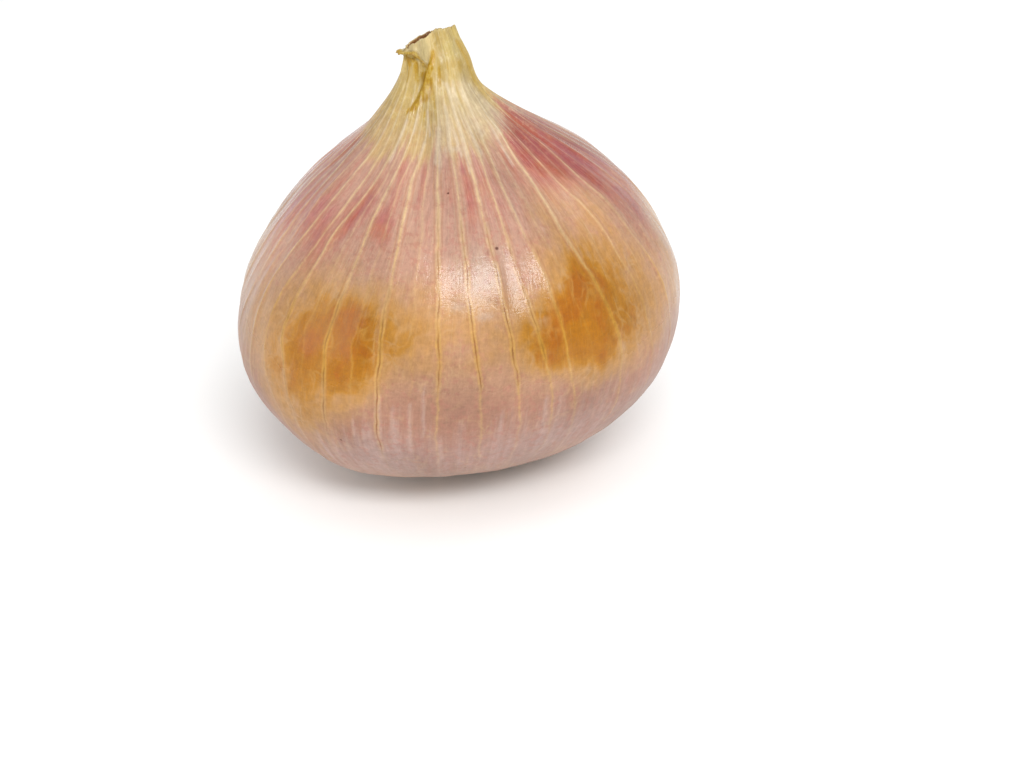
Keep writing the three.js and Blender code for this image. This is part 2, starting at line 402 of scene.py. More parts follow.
folds = []
for pts, amount, w in (
    ([(-74, 71.0), (-57, 68.9), (-51, 65.9)], 0.16, 0.20),
    ([(-53, 71.3), (-39, 70.3), (-32, 67.9)], 0.18, 0.22),
    ([(2.7, 70.8), (5.3, 67.8)], 0.09, 0.25),
    ([(60, 73.5), (66, 70.0), (70, 66.0)], 0.16, 0.30),
    ([(-88, 69.5), (-80, 66.5), (-78, 63.5)], 0.12, 0.28),
    ([(128, 72.0), (120, 68.0), (118, 63.5)], 0.20, 0.30),
    ([(-140, 72.0), (-132, 68.0), (-136, 63.0)], 0.18, 0.30),
    ([(170, 73.0), (172, 69.0), (176, 62.5)], 0.22, 0.28),
):
    s, ends = thread_line(pts, w)
    relief += amount * ends * (bell(s - 1.5 * w, 1.2 * w) - 1.1 * bell(s, w))
    folds.append((s, ends, w))

# ---- on the left of the lap the outer skin ends below the top, and a paler inner sheath stands out of it
CURL_AT = hermite([-112, -95, -75, -52, -38, -31, -25, -19, -8], [71.9, 71.55, 71.35, 71.55, 71.65, 71.2, 70.5, 70.0, 69.8])
curl_z = CURL_AT(turn(PH))
on_left = step(turn(PH), -112, -100) * step(-lap_s, -0.05, 0.30) * (turn(PH) > -125)
above = step(H, curl_z - 0.02, curl_z + 0.16)
relief -= 0.30 * step(turn(PH), -112, -100) * step(-lap_s, -1.3, 0.5) * (turn(PH) > -125) * above
relief += 0.22 * on_left * bell(H - (curl_z - 0.10), 0.22)
sheath = on_left * above

# ---------------------------------------------------------------- normals and the final outside
def grid_normals(Q):
    da = np.roll(Q, -1, 1) - np.roll(Q, 1, 1)
    db = np.empty_like(Q)
    db[1:-1] = Q[2:] - Q[:-2]
    db[0], db[-1] = Q[1] - Q[0], Q[-1] - Q[-2]
    n = np.cross(da, db)
    return n / np.maximum(np.linalg.norm(n, axis=-1, keepdims=True), 1e-9)


N = grid_normals(P)
fade = step(rr, 0.0, 1.2)
P = P + N * (relief * fade)[..., None]
P[..., 2] = np.maximum(P[..., 2], 0.0)

# ---- over the rim and down inside the slit
ph_top = PH[-1]
cx_top = -3.8 + 0.0 * ph_top
tip = P[-1].copy()
mid = np.stack([cx_top, np.full_like(cx_top, tip[:, 1].mean()), tip[:, 2]], -1)
slit_mid_y = slit_y(ph_top)
inner = []
wall = 0.34
for drop, t in ((-0.05, 0.35), (-0.02, 0.75), (0.12, 1.0), (0.45, 1.05), (0.9, 1.1), (1.6, 1.12), (2.4, 1.15), (3.3, 1.2), (4.2, 1.3), (5.0, 1.6)):
    q = tip.copy()
    x_in = tip[:, 0] - np.sin(np.radians(ph_top)) * wall * t
    off = tip[:, 1] - slit_mid_y
    y_in = slit_mid_y + np.sign(off) * np.maximum(np.abs(off) - wall * t * (0.35 + 0.65 * np.abs(np.cos(np.radians(ph_top)))), 0.012)
    q[:, 0], q[:, 1] = x_in, y_in
    floor_z = 70.4 + 0.45 * (tip[:, 2] - 72.0)
    q[:, 2] = np.maximum(tip[:, 2] - drop, floor_z - 0.2 * max(drop - 4, 0))
    inner.append(q)
inner = np.array(inner)

# ---- underneath: a shallow saucer with the root plate in it
bottom = []
first = P[0].copy()
centre = np.array([first[:, 0].mean(), first[:, 1].mean(), 0.0])
root_wave = Waves(41, 12, (5, 23), (30, 60))
plate = ((0.955, 0.10), (0.90, 0.42), (0.84, 0.95), (0.77, 1.55), (0.71, 1.80), (0.64, 1.72), (0.54, 1.95), (0.42, 2.35), (0.30, 2.6), (0.17, 2.75), (0.07, 2.8))
for k, (s, z) in enumerate(plate):
    q = centre + (first - centre) * (s + 0.012 * root_wave(PH[0], 3.0 * k)[:, None])
    q[:, 2] = z + 0.10 * Waves(42 + k, 8, (6, 31), (30, 60))(PH[0], 0 * PH[0]) * step(z, 0.2, 1.2)
    bottom.append(q)
bottom = np.array(bottom[::-1])

ALL = np.concatenate([bottom, P, inner])
NR = len(ALL)
OFF = len(bottom)
pole_lo = np.array([[centre[0], centre[1], 2.82]])
low_ring = ALL[-1]
pole_hi = np.array([[low_ring[:, 0].mean(), low_ring[:, 1].mean(), low_ring[:, 2].min()]])

# ---------------------------------------------------------------- zones painted on the skin, 0..1
def blobs(rows):
    out = np.zeros_like(PH)
    for a0, h0, sa, sh, k in rows:
        out = np.maximum(out, 0) + k * bell(turn(PH - a0), sa) * bell(H - h0, sh) * (1 - 0.35 * np.clip(out, 0, 1))
    return out


AMBER = [
    (-25.5, 34.3, 4.8, 4.0, 1.0), (-29, 37.8, 5.0, 2.4, 0.62), (-34, 34.5, 4.6, 4.6, 0.76), (-40.5, 34, 4.2, 5, 0.42), (-36, 27, 6.5, 5.0, 0.24), (-27, 41.0, 6, 1.9, 0.30),
    (-19, 36.5, 3.0, 3.2, 0.28), (-13, 37.5, 4.0, 2.4, 0.22), (-47, 30, 5, 5, 0.22), (-50, 38, 4, 5, 0.12),
    (38.5, 43.8, 4.4, 2.4, 0.54), (28, 40.2, 4, 1.8, 0.30), (38, 39.5, 5, 2.8, 0.92), (29.5, 36.2, 5.2, 2.7, 1.0), (39.5, 35.3, 5.4, 4.2, 1.0), (50, 35.5, 4.4, 4.2, 0.46), (21, 38.3, 3, 1.8, 0.22), (24.5, 34.8, 3.4, 2.2, 0.50),
    (47, 43, 6, 3.6, 0.20), (62, 33, 6, 4.5, 0.12), (36, 50, 6, 3, 0.10), (27, 46.5, 3.5, 2.4, 0.16),
    (-30, 40, 18, 7, 0.10), (-10, 40, 10, 4.6, 0.10), (16, 39, 10, 4.0, 0.07), (42, 41, 11, 6, 0.14), (-40, 24, 10, 7, 0.14), (-36, 18, 8, 6, 0.08), (60, 38, 8, 6, 0.06), (150, 40, 50, 6, 0.10), (240, 38, 40, 6, 0.10),
    (-8, 38.5, 5, 3, 0.08), (-60, 33, 5, 5, 0.16), (-66, 27, 6, 6, 0.10),
    (52, 51, 12, 4.0, 0.11), (33, 52, 6, 3, 0.07), (60, 45, 8, 6, 0.09), (58, 35, 7, 6, 0.09), (11, 38, 7, 4, 0.09), (20, 38, 5, 4, 0.12), (1, 40, 13, 4.5, 0.09),
    (82, 35, 8, 5, 0.22), (99, 39, 9, 5, 0.42), (117, 35, 10, 5.5, 0.58), (139, 32, 9, 5, 0.34), (158, 37, 10, 5, 0.56), (181, 33, 9, 5, 0.24),
    (203, 38, 9, 5.0, 0.56), (226, 32, 8, 4.5, 0.36), (246, 36, 9, 5.5, 0.54), (268, 33, 8, 4.5, 0.25),
]
ROSE = [
    (-43, 50.5, 2.8, 2.2, 0.66), (-39, 53.5, 2.6, 2.2, 0.50), (-30.5, 51.2, 2.0, 1.6, 0.74), (-25.5, 50.4, 1.8, 1.4, 0.55), (-26.5, 55.5, 2.0, 3, 0.45), (-29.6, 57.3, 1.2, 0.9, 0.6), (-48.5, 46.5, 3.4, 3.6, 0.50),
    (-15.5, 55.5, 2.0, 3.2, 0.50), (-11, 51, 2, 2, 0.22), (-62, 52, 7, 5, 0.34), (-76, 48, 8, 7, 0.34), (-56, 47, 5, 4, 0.32), (-35, 46, 6, 3, 0.16),
    (90, 57, 7, 3.4, 1.0), (79, 57, 6, 2.8, 1.1), (67, 57.5, 6, 2.6, 1.25), (57, 59, 5, 2.4, 1.2), (73, 60.5, 9, 2.2, 1.0), (71, 53.5, 4.5, 2.2, 0.55), (80, 48, 4.5, 4.4, 0.28), (59, 55.6, 4, 1.8, 0.75),
    (45, 57.5, 4.5, 2.4, 0.80), (49, 55.5, 4, 2, 0.45), (33, 57.5, 4, 2.4, 0.40), (43, 53, 4, 2, 0.18), (93, 50, 6, 5, 0.36), (72, 50.5, 5, 3.0, 0.34), (77, 44, 6, 6, 0.32), (6.7, 55.5, 1.7, 2.2, 0.62), (5.4, 52, 1.5, 1.6, 0.25),
    (-3, 56.0, 2.4, 2.4, 0.30), (14, 56, 2.6, 3, 0.42), (22, 57.0, 3, 2.4, 0.26), (29, 53.5, 3.4, 2.4, 0.26), (14, 50.5, 3, 2, 0.2), (19, 53, 2, 2, 0.26),
]
g = np.random.default_rng(5150)
for a0 in range(104, 284, 9):
    ROSE.append((a0 + g.uniform(-3, 3), g.uniform(50, 59), g.uniform(2.5, 5.5), g.uniform(2.4, 4.5), g.uniform(0.35, 1.0)))
    ROSE.append((a0 + g.uniform(-4, 4), g.uniform(43, 50), g.uniform(2.5, 5), g.uniform(2.5, 4.5), g.uniform(0.1, 0.5)))
amber = blobs(AMBER)
rose = blobs(ROSE)
straw_at = hermite([-180, -140, -90, -65, -45, -30, -20, 0, 20, 40, 60, 90, 130, 180], [60.8, 61.2, 59.6, 58.4, 58.2, 59.6, 59.4, 60.2, 60.8, 61.8, 63.2, 64.2, 62.4, 60.8])(turn(PH))
straw = step(H, straw_at - 3.6, straw_at + 2.4)
# real whitish bloom and cream, with painted highlights among them
bloom_and_highlight = (
    blobs([(-15, 17, 9, 7, 0.56), (13, 15, 12, 6, 0.36), (-30, 14, 11, 5, 0.40), (26, 18, 14, 7, 0.4), (50, 18, 16, 7, 0.35), (-68, 36, 8, 9, 0.14),
           (95, 22, 22, 9, 0.5), (140, 20, 22, 9, 0.6), (190, 22, 24, 9, 0.55), (235, 20, 22, 9, 0.6), (275, 20, 16, 9, 0.3), (-75, 30, 9, 12, 0.14), (82, 34, 8, 10, 0.25)])
    # painted highlight: the entries at (40, 65), (56, 63), (28, 62), (8, 63) and (-2.5, 62) paint the glossy highlight
    # on the neck's right in cream, and (7, 46.4) paints the pale of the main highlight on the front
    + blobs([(40, 65, 9, 2.0, 0.9), (56, 63, 8, 1.8, 0.8), (28, 62, 7, 1.6, 0.75), (8, 63, 6, 2.0, 0.6), (-2.5, 62, 4, 2.4, 0.5), (18, 59, 4, 1.8, 0.3), (7, 46.4, 9, 2.6, 0.75), (2, 51.5, 12, 4, 0.16), (22, 71, 14, 3.0, 0.40), (50, 69, 16, 3.5, 0.30), (8, 67, 12, 2.4, 0.12)])
    # painted highlight: a pale sheen streak along a vein on the upper left
    + 0.55 * blobs([(-44, 51.5, 1.0, 2.0, 0.9), (-47.5, 49.2, 1.2, 1.4, 0.7)])
    + 0.95 * blobs([(0.4, 42.4, 1.5, 0.42, 0.8), (8.0, 41.0, 2.0, 0.42, 0.7), (23.4, 39.3, 2.2, 0.5, 0.6), (-25.1, 39.2, 2.4, 0.5, 0.28), (31.2, 43.1, 1.8, 0.5, 0.6), (-19, 38.6, 1.2, 0.8, 0.5)])
)


def stroke(points, width):
    """How near each point of the skin is to a drawn line, 1 on it; points are (azimuth, height)."""
    best = np.full_like(PH, 1e9)
    for (a0, h0), (a1, h1) in zip(points[:-1], points[1:]):
        ux, uz = (a1 - a0) * S, h1 - h0
        vx, vz = turn(PH - a0) * S, H - h0
        t = np.clip((vx * ux + vz * uz) / np.maximum(ux * ux + uz * uz, 1e-6), 0, 1)
        best = np.minimum(best, (vx - t * ux) ** 2 + (vz - t * uz) ** 2)
    return np.exp(-0.5 * best / width**2)


gold = np.zeros_like(PH)
for pts, w, k in (
    ([(10.0, 73.6), (3.0, 72.6), (-3.0, 71.6)], 0.80, 0.26),
    ([(-3.0, 71.6), (-10.5, 69.9), (-15.1, 68.4), (-17.6, 67.5)], 0.42, 0.66),
    ([(-62, 70.8), (-52, 70.8), (-44, 71.0)], 0.50, 0.75),
    ([(-19.5, 68.4), (-14.5, 67.5), (-10.5, 66.9)], 0.50, 0.70),
    ([(-36.5, 69.8), (-31.5, 67.6)], 0.40, 0.55),
    ([(-60, 69.0), (-40, 68.6)], 1.60, 0.12),
    ([(14, 74.4), (26, 74.2)], 0.60, 0.16),
    ([(28, 69.8), (42, 69.6), (66, 69.0)], 0.42, 0.20),
    ([(-17.8, 67.8), (-11.2, 66.7)], 0.42, 1.0),
    ([(-8.5, 69.4), (-12.3, 68.0), (-14.6, 67.0)], 0.30, 0.62),
    ([(-13.6, 67.4), (-14.6, 66.4), (-16.6, 65.6)], 0.62, 1.0),
    ([(-15.8, 66.0), (-22.6, 64.9), (-28.8, 64.0)], 0.40, 0.85),
    ([(-57.6, 70.7), (-52.0, 69.6)], 0.30, 0.65),
    ([(5.6, 69.4), (4.7, 67.2)], 0.36, 0.46),
    ([(-17.4, 67.2), (-22.3, 66.0), (-28.5, 64.4), (-35.4, 63.3)], 0.26, 0.85),
    ([(-61.2, 71.0), (-56.4, 70.1)], 0.26, 0.75),
    ([(-48.3, 71.2), (-45.3, 70.3)], 0.26, 0.75),
    ([(-34.6, 69.7), (-30.0, 68.0)], 0.16, 0.80),
    ([(-52.8, 69.9), (-48.8, 67.1)], 0.13, 0.50),
    ([(6.4, 69.7), (7.0, 68.1)], 0.32, 0.42),
    ([(17.0, 70.0), (17.9, 69.4)], 0.30, 0.34),
    ([(41.8, 70.1), (41.4, 68.9)], 0.36, 0.36),
    ([(61.6, 71.9), (68.2, 68.7)], 0.14, 0.34),
    ([(64.0, 70.3), (72.3, 67.0)], 0.12, 0.30),
    ([(-5.6, 66.4), (-4.4, 63.6)], 0.26, 0.36),
    ([(-16.0, 63.6), (-20.4, 61.5)], 0.26, 0.34),
    ([(-3.8, 63.3), (-5.6, 61.1)], 0.24, 0.32),
    ([(150, 72.5), (158, 68.0), (152, 65.0)], 0.30, 0.60),
    ([(-150, 71.0), (-144, 68.0)], 0.24, 0.50),
    ([(-170, 73.5), (-166, 70.0), (-168, 66.0)], 0.20, 0.45),
    ([(110, 71.0), (114, 67.5), (110, 64.0)], 0.22, 0.50),
    ([(-112, 70.0), (-106, 66.5), (-108, 63.5)], 0.22, 0.50),
):
    gold = np.maximum(gold, 1.5 * k * stroke(pts, w))
# painted shadow: a gold band just under the curled lip, where its shadow falls
gold = np.maximum(gold, 0.60 * on_left * bell(H - (curl_z - 0.35), 0.35) * step(turn(PH), -100, -62))
for s_, ends, w in folds:
    gold = np.maximum(gold, 0.40 * ends * bell(s_, 1.25 * w))
for pts, w, k in (
    ([(-16.2, 29.4), (-15.7, 23.6), (-16.2, 16.7)], 0.36, 0.90),
    ([(-8.6, 28.6), (-8.5, 19.4)], 0.28, 0.66),
    ([(-6.1, 31.9), (-4.9, 22.8)], 0.32, 0.62),
    ([(-11.9, 27.8), (-12.4, 14.4)], 0.30, 0.62),
    ([(-18.6, 24.0), (-18.9, 12.5)], 0.30, 0.70),
    ([(-14.0, 21.0), (-14.2, 11.0)], 0.26, 0.70),
    ([(-1.0, 22.0), (-0.6, 12.0)], 0.30, 0.60),
    ([(-22.2, 24.8), (-21.1, 14.3)], 0.32, 0.50),
    ([(3.0, 25.0), (3.5, 14.0)], 0.30, 0.46),
    ([(13.5, 26.0), (14.5, 16.0)], 0.34, 0.42),
    ([(25.0, 27.0), (27.0, 15.0)], 0.34, 0.42),
    ([(-33.0, 20.0), (-32.0, 11.0)], 0.40, 0.50),
    ([(-9.0, 58.2), (-6.5, 60.0), (-4.5, 61.6)], 0.24, 1.10),
    ([(-6.6, 57.6), (-6.2, 60.0)], 0.24, 1.09),
    ([(-1.5, 59.4), (4.8, 59.6)], 0.24, 0.80),
    ([(1.0, 60.0), (5.0, 62.4)], 0.24, 1.01),
    ([(16.5, 66.4), (19.5, 63.6), (20.5, 61.4), (21.6, 59.0)], 0.20, 1.15),
    ([(6.0, 64.2), (7.4, 61.2), (8.0, 59.0)], 0.18, 1.05),
    ([(27.0, 62.8), (30.5, 61.0)], 0.26, 0.95),
    ([(40.0, 67.0), (43.0, 63.6), (41.5, 60.6)], 0.20, 1.10),
    ([(-13.4, 63.6), (-12.0, 61.0)], 0.18, 0.9),
    ([(10.3, 57.4), (11.6, 60.0), (14.0, 62.5), (15.6, 65.2), (15.0, 67.0)], 0.24, 1.10),
    ([(21.0, 64.6), (24.5, 67.4)], 0.24, 0.87),
    ([(45.0, 60.8), (49.6, 64.2), (51.5, 66.6)], 0.24, 1.09),
    ([(-38.6, 57.6), (-36.2, 60.4), (-34.0, 62.2)], 0.24, 1.01),
    ([(-25.6, 61.2), (-23.2, 63.0)], 0.24, 0.87),
    ([(-19.0, 58.6), (-16.6, 60.2)], 0.24, 0.87),
    ([(36.0, 57.5), (40.5, 61.0)], 0.24, 0.87),
    ([(-1.5, 74.6), (-3.0, 72.8), (-6.0, 71.4)], 0.45, 0.75),
):
    bloom_and_highlight = np.maximum(bloom_and_highlight, k * stroke(pts, w) + 0.6 * bloom_and_highlight)
neck_here = step(H, 61.5, 63.5)
amber = amber * (1 - neck_here) + gold * neck_here
rose = rose * step(-H, -68, -65)
cream_here = np.clip(sheath, 0, 1)
bloom_and_highlight = bloom_and_highlight * (1 - 0.35 * step(H, 67.5, 70.5)) * (1 - 0.8 * step(-turn(PH), 15, 35) * step(H, 66, 68)) + cream_here * step(H, 69.2, 70.2)
straw = np.clip(straw, 0, 1)
# tone_and_shade: a random tone over the skin; the next two lines add painted shade in creases on the neck
tone_and_shade = 0.5 + 0.06 * Waves(51, 12, (3, 11), (14, 40))(PH, H)
# painted shade: darker along the edge of the lap, in the crease where the right sheet overlaps the left
tone_and_shade -= 0.14 * lap_on * lap_high * bell(lap_s + 0.22, 0.16) * step(H, 63.5, 65.5) * step(-H, -73.8, -72.0)
# painted shadow: darker in the crease at the sheath's foot, just above the curled lip
tone_and_shade -= 0.12 * on_left * bell(H - (curl_z + 0.12), 0.12)
tone_and_shade -= 0.035 * bell(H - 64.5, 3.2) * bell(turn(PH) - 8, 32)
# darker towards the bottom, round the root plate
tone_and_shade -= 0.10 * step(-H, -4.0, -0.5)

# ---------------------------------------------------------------- whole-grid arrays, bottom and inside included
def whole(field, low, high):
    a = np.broadcast_to(np.asarray(low, float), (OFF, NC))
    b = np.broadcast_to(np.asarray(high, float), (len(inner), NC))
    return np.concatenate([a, field, b])


d_core = D / core
PHI_ALL = whole(PH, PH[:1].repeat(OFF, 0), PH[-1:].repeat(len(inner), 0))
inner_brown = np.array([0.0, 0.45, 0.95, 1, 1, 1, 1, 1, 1, 1])[:, None] * (0.35 + 0.65 * step(-rim_x(ph_top), 2.6, 4.0))[None, :]
Z_AMBER = whole(amber, 0.0, 0.25)
Z_ROSE = whole(rose, 0.0, inner_brown)
Z_BLOOM_AND_HIGHLIGHT = whole(bloom_and_highlight, 0.0, (1 - inner_brown) * 0.5)
Z_STRAW = whole(straw, 1.0, 1.0)
Z_TONE_AND_SHADE = whole(tone_and_shade, 0.36, 0.42)
Z_PROM = whole(PR, 0.1, 0.0)
Z_CRACK = whole(CR, 0.0, 0.0)

# ---------------------------------------------------------------- mesh building
def build(name, verts, faces, uvs, smooth=True):
    me = bpy.data.meshes.new(name)
    me.from_pydata(np.asarray(verts, float).tolist(), [], faces)
    for key, data in uvs.items():
        layer = me.uv_layers.new(name=key, do_init=False)
        layer.data.foreach_set("uv", np.asarray(data, np.float32).ravel())
    me.polygons.foreach_set("use_smooth", [smooth] * len(me.polygons))
    me.update()
    me.validate(clean_customdata=False)
    ob = bpy.data.objects.new(name, me)
    bpy.context.scene.collection.objects.link(ob)
    return ob


j, i = np.meshgrid(np.arange(NR - 1), np.arange(NC), indexing="ij")
i2 = (i + 1) % NC
quads = np.stack([j * NC + i, j * NC + i2, (j + 1) * NC + i2, (j + 1) * NC + i], -1).reshape(-1, 4)
corner_j = np.stack([j, j, j + 1, j + 1], -1)
corner_i = np.stack([i, i2, i2, i], -1)
wrapped = np.stack([0 * i, (i == NC - 1).astype(int), (i == NC - 1).astype(int), 0 * i], -1)
q_lane = i // NS
q_sub = i % NS
left_side = (q_sub < 4)[..., None]
FR1 = np.append(FR, 1.0)
c_frac = np.stack([FR1[q_sub], FR1[q_sub + 1], FR1[q_sub + 1], FR1[q_sub]], -1)
row_lookup = np.clip(np.arange(NR) - OFF, 0, NB - 1)
w_all = width[:, row_lookup]  # NV x NR degrees
s_all = np.concatenate([S[:1].repeat(OFF, 0), S, S[-1:].repeat(len(inner), 0)])
cw = w_all[q_lane[..., None], corner_j] * s_all[corner_j, corner_i]
cd = np.where(left_side, c_frac, c_frac - 1.0) * cw
ccore = np.minimum(0.27, 0.15 * cw)
c_vein = np.where(left_side, q_lane[..., None], (q_lane[..., None] + 1) % NV)
p_all = prom[:, row_lookup]
k_all = crack[:, row_lookup]
inside_or_under = (corner_j < OFF) | (corner_j >= OFF + NB)
cp = np.where(inside_or_under, 0.0, p_all[c_vein, corner_j])
ck = np.where(inside_or_under, 0.0, k_all[c_vein, corner_j])
c_phi = PHI_ALL[corner_j, corner_i] + 360.0 * wrapped


def corners(field):
    return field[corner_j, corner_i]


uv_vein = np.stack([0.5 + (cd / ccore) / 60.0, cp], -1).reshape(-1, 2)
uv_crack = np.stack([ck, np.broadcast_to(q_lane[..., None] / 64.0, ck.shape)], -1).reshape(-1, 2)
uv_a = np.stack([corners(Z_AMBER), corners(Z_ROSE)], -1).reshape(-1, 2)
uv_b = np.stack([corners(Z_BLOOM_AND_HIGHLIGHT), corners(Z_STRAW)], -1).reshape(-1, 2)
uv_c = np.stack([(c_phi + 180.0) / 360.0, corners(Z_TONE_AND_SHADE)], -1).reshape(-1, 2)
v_arc = np.concatenate([[0], np.cumsum(np.linalg.norm(np.diff(ALL.mean(1) * [0, 0, 1] + np.stack([np.linalg.norm(ALL[..., :2] - centre[:2], axis=-1).mean(1), 0 * ALL[:, 0, 0], 0 * ALL[:, 0, 0]], -1), axis=0), axis=-1))])
v_arc = 0.01 + 0.97 * v_arc / v_arc[-1]
u_bake = 0.004 + 0.992 * (corner_i + NC * wrapped) / NC
uv_bake = np.stack([u_bake, v_arc[corner_j]], -1).reshape(-1, 2)

verts = np.concatenate([ALL.reshape(-1, 3), pole_lo, pole_hi])
n_lo, n_hi = NR * NC, NR * NC + 1
faces = quads.tolist()
fan_uv = {"VeinMap": [], "CrackMap": [], "ZoneA": [], "ZoneB": [], "ZoneC": [], "OFBake": []}
for k in range(NC):
    k2 = (k + 1) % NC
    faces.append([k2, k, n_lo])
    u1 = 0.004 + 0.992 * k / NC
    u2 = 0.004 + 0.992 * (k + 1) / NC
    fan_uv["VeinMap"] += [(0.9, 0)] * 3
    fan_uv["CrackMap"] += [(0, 0)] * 3
    fan_uv["ZoneA"] += [(0, 0)] * 3
    fan_uv["ZoneB"] += [(0, 1)] * 3
    fan_uv["ZoneC"] += [(u2, 0.34), (u1, 0.34), ((u1 + u2) / 2, 0.34)]
    fan_uv["OFBake"] += [(u2, 0.01), (u1, 0.01), ((u1 + u2) / 2, 0.002)]
top0 = (NR - 1) * NC
for k in range(NC):
    k2 = (k + 1) % NC
    faces.append([top0 + k, top0 + k2, n_hi])
    u1 = 0.004 + 0.992 * k / NC
    u2 = 0.004 + 0.992 * (k + 1) / NC
    fan_uv["VeinMap"] += [(0.9, 0)] * 3
    fan_uv["CrackMap"] += [(0, 0)] * 3
    fan_uv["ZoneA"] += [(0, 1)] * 3
    fan_uv["ZoneB"] += [(0, 1)] * 3
    fan_uv["ZoneC"] += [(u1, 0.4), (u2, 0.4), ((u1 + u2) / 2, 0.4)]
    fan_uv["OFBake"] += [(u1, 0.98), (u2, 0.98), ((u1 + u2) / 2, 0.99)]
bulb_uvs = {}
for key, main_uv in (("VeinMap", uv_vein), ("CrackMap", uv_crack), ("ZoneA", uv_a), ("ZoneB", uv_b), ("ZoneC", uv_c), ("OFBake", uv_bake)):
    bulb_uvs[key] = np.concatenate([main_uv, np.array(fan_uv[key])])
bulb = build("onion_skin", verts * MM, faces, bulb_uvs)


# ---------------------------------------------------------------- the torn lip that curls out of the outer skin
def curl_piece():
    az = np.concatenate([np.linspace(-104, -60, 34), np.linspace(-58, -21, 60)])
    prof = [(-1.20, -0.10), (-0.80, 0.04), (-0.45, 0.16), (-0.18, 0.32), (0.02, 0.50), (0.12, 0.70), (0.10, 0.90), (-0.04, 1.08), (-0.24, 1.16)]
    thick = 0.16
    rows = len(prof)
    outer, back = [], []
    w1, w2 = Waves(61, 10, (6, 24), (30, 60)), Waves(62, 10, (30, 70), (30, 60))
    for a in az:
        z0 = float(CURL_AT(a))
        grow = float((0.55 + 0.45 * bell(a + 88, 16) + 0.30 * bell(a + 44, 9)) * step(a, -105, -97) * step(-a, 20, 33)) + 0.02
        grow *= 1 + 0.10 * float(w1(a, 0.0)) + 0.02 * float(w2(a, 0.0))
        h = z0 + 0.025 * float(w2(a, 7.0))
        row_o, row_b = [], []
        for k, (s, o) in enumerate(prof):
            zz = h + s * (0.6 + 0.4 * grow)
            x, y = section(zz, a)
            pr = float(PRESS(64 + (zz - 64) * 11 / (float(rim_z(np.array([a]))[0]) - 64)))
            cc = math.cos(math.radians(a))
            yt = -np.sign(cc) * abs(cc) ** 0.62 * (0.42 + float(mouth_gap(rim_x(a))))
            y = y * (1 - pr) + (yt + float(slit_y(a))) * pr
            n = np.array([math.sin(math.radians(a)) * 0.75, -math.cos(math.radians(a)), 0.0])
            n /= np.linalg.norm(n)
            tilt = np.array([0, 0, 0.35 * max(o, 0) * grow])
            p = np.array([float(x), float(y), zz]) + n * (o * (grow if o > 0.1 else 1.0)) + tilt * 0.2
            nn = n * 0.75 + np.array([0, 0, -0.65 if k > 3 else 0.0])
            row_o.append(p)
            row_b.append(p - (np.array([0, 0, -1.0]) * min(1, max(0, (k - 2) / 3)) * -1 + n * (1 - min(1, max(0, (k - 2) / 3)))) * thick * (1.0 if k < rows - 1 else 0.4))
        outer.append(row_o)
        back.append(row_b)
    O, B = np.array(outer), np.array(back)
    na, nr = O.shape[:2]
    ring = np.concatenate([O, B[:, ::-1]], 1)  # na x 2nr closed ring
    m = 2 * nr
    vv = ring.reshape(-1, 3)
    ff = []
    uv = []
    for p in range(na - 1):
        for q in range(m):
            q2 = (q + 1) % m
            ff.append([p * m + q, (p + 1) * m + q, (p + 1) * m + q2, p * m + q2])
            u1, u2, v1, v2 = p / (na - 1), (p + 1) / (na - 1), q / m, (q + 1) / m
            uv += [(u1, v1), (u2, v1), (u2, v2), (u1, v2)]
    ff.append([q for q in range(m)])
    uv += [(0.0, q / m) for q in range(m)]
    ff.append([(na - 1) * m + q for q in range(m)][::-1])
    uv += [(1.0, q / m) for q in range(m)][::-1]
    lip = np.array(uv) * 0.98 + 0.01
    return build("neck_lip", vv * MM, ff, {"LipMap": np.array(uv), "OFBake": lip})


lip = curl_piece()


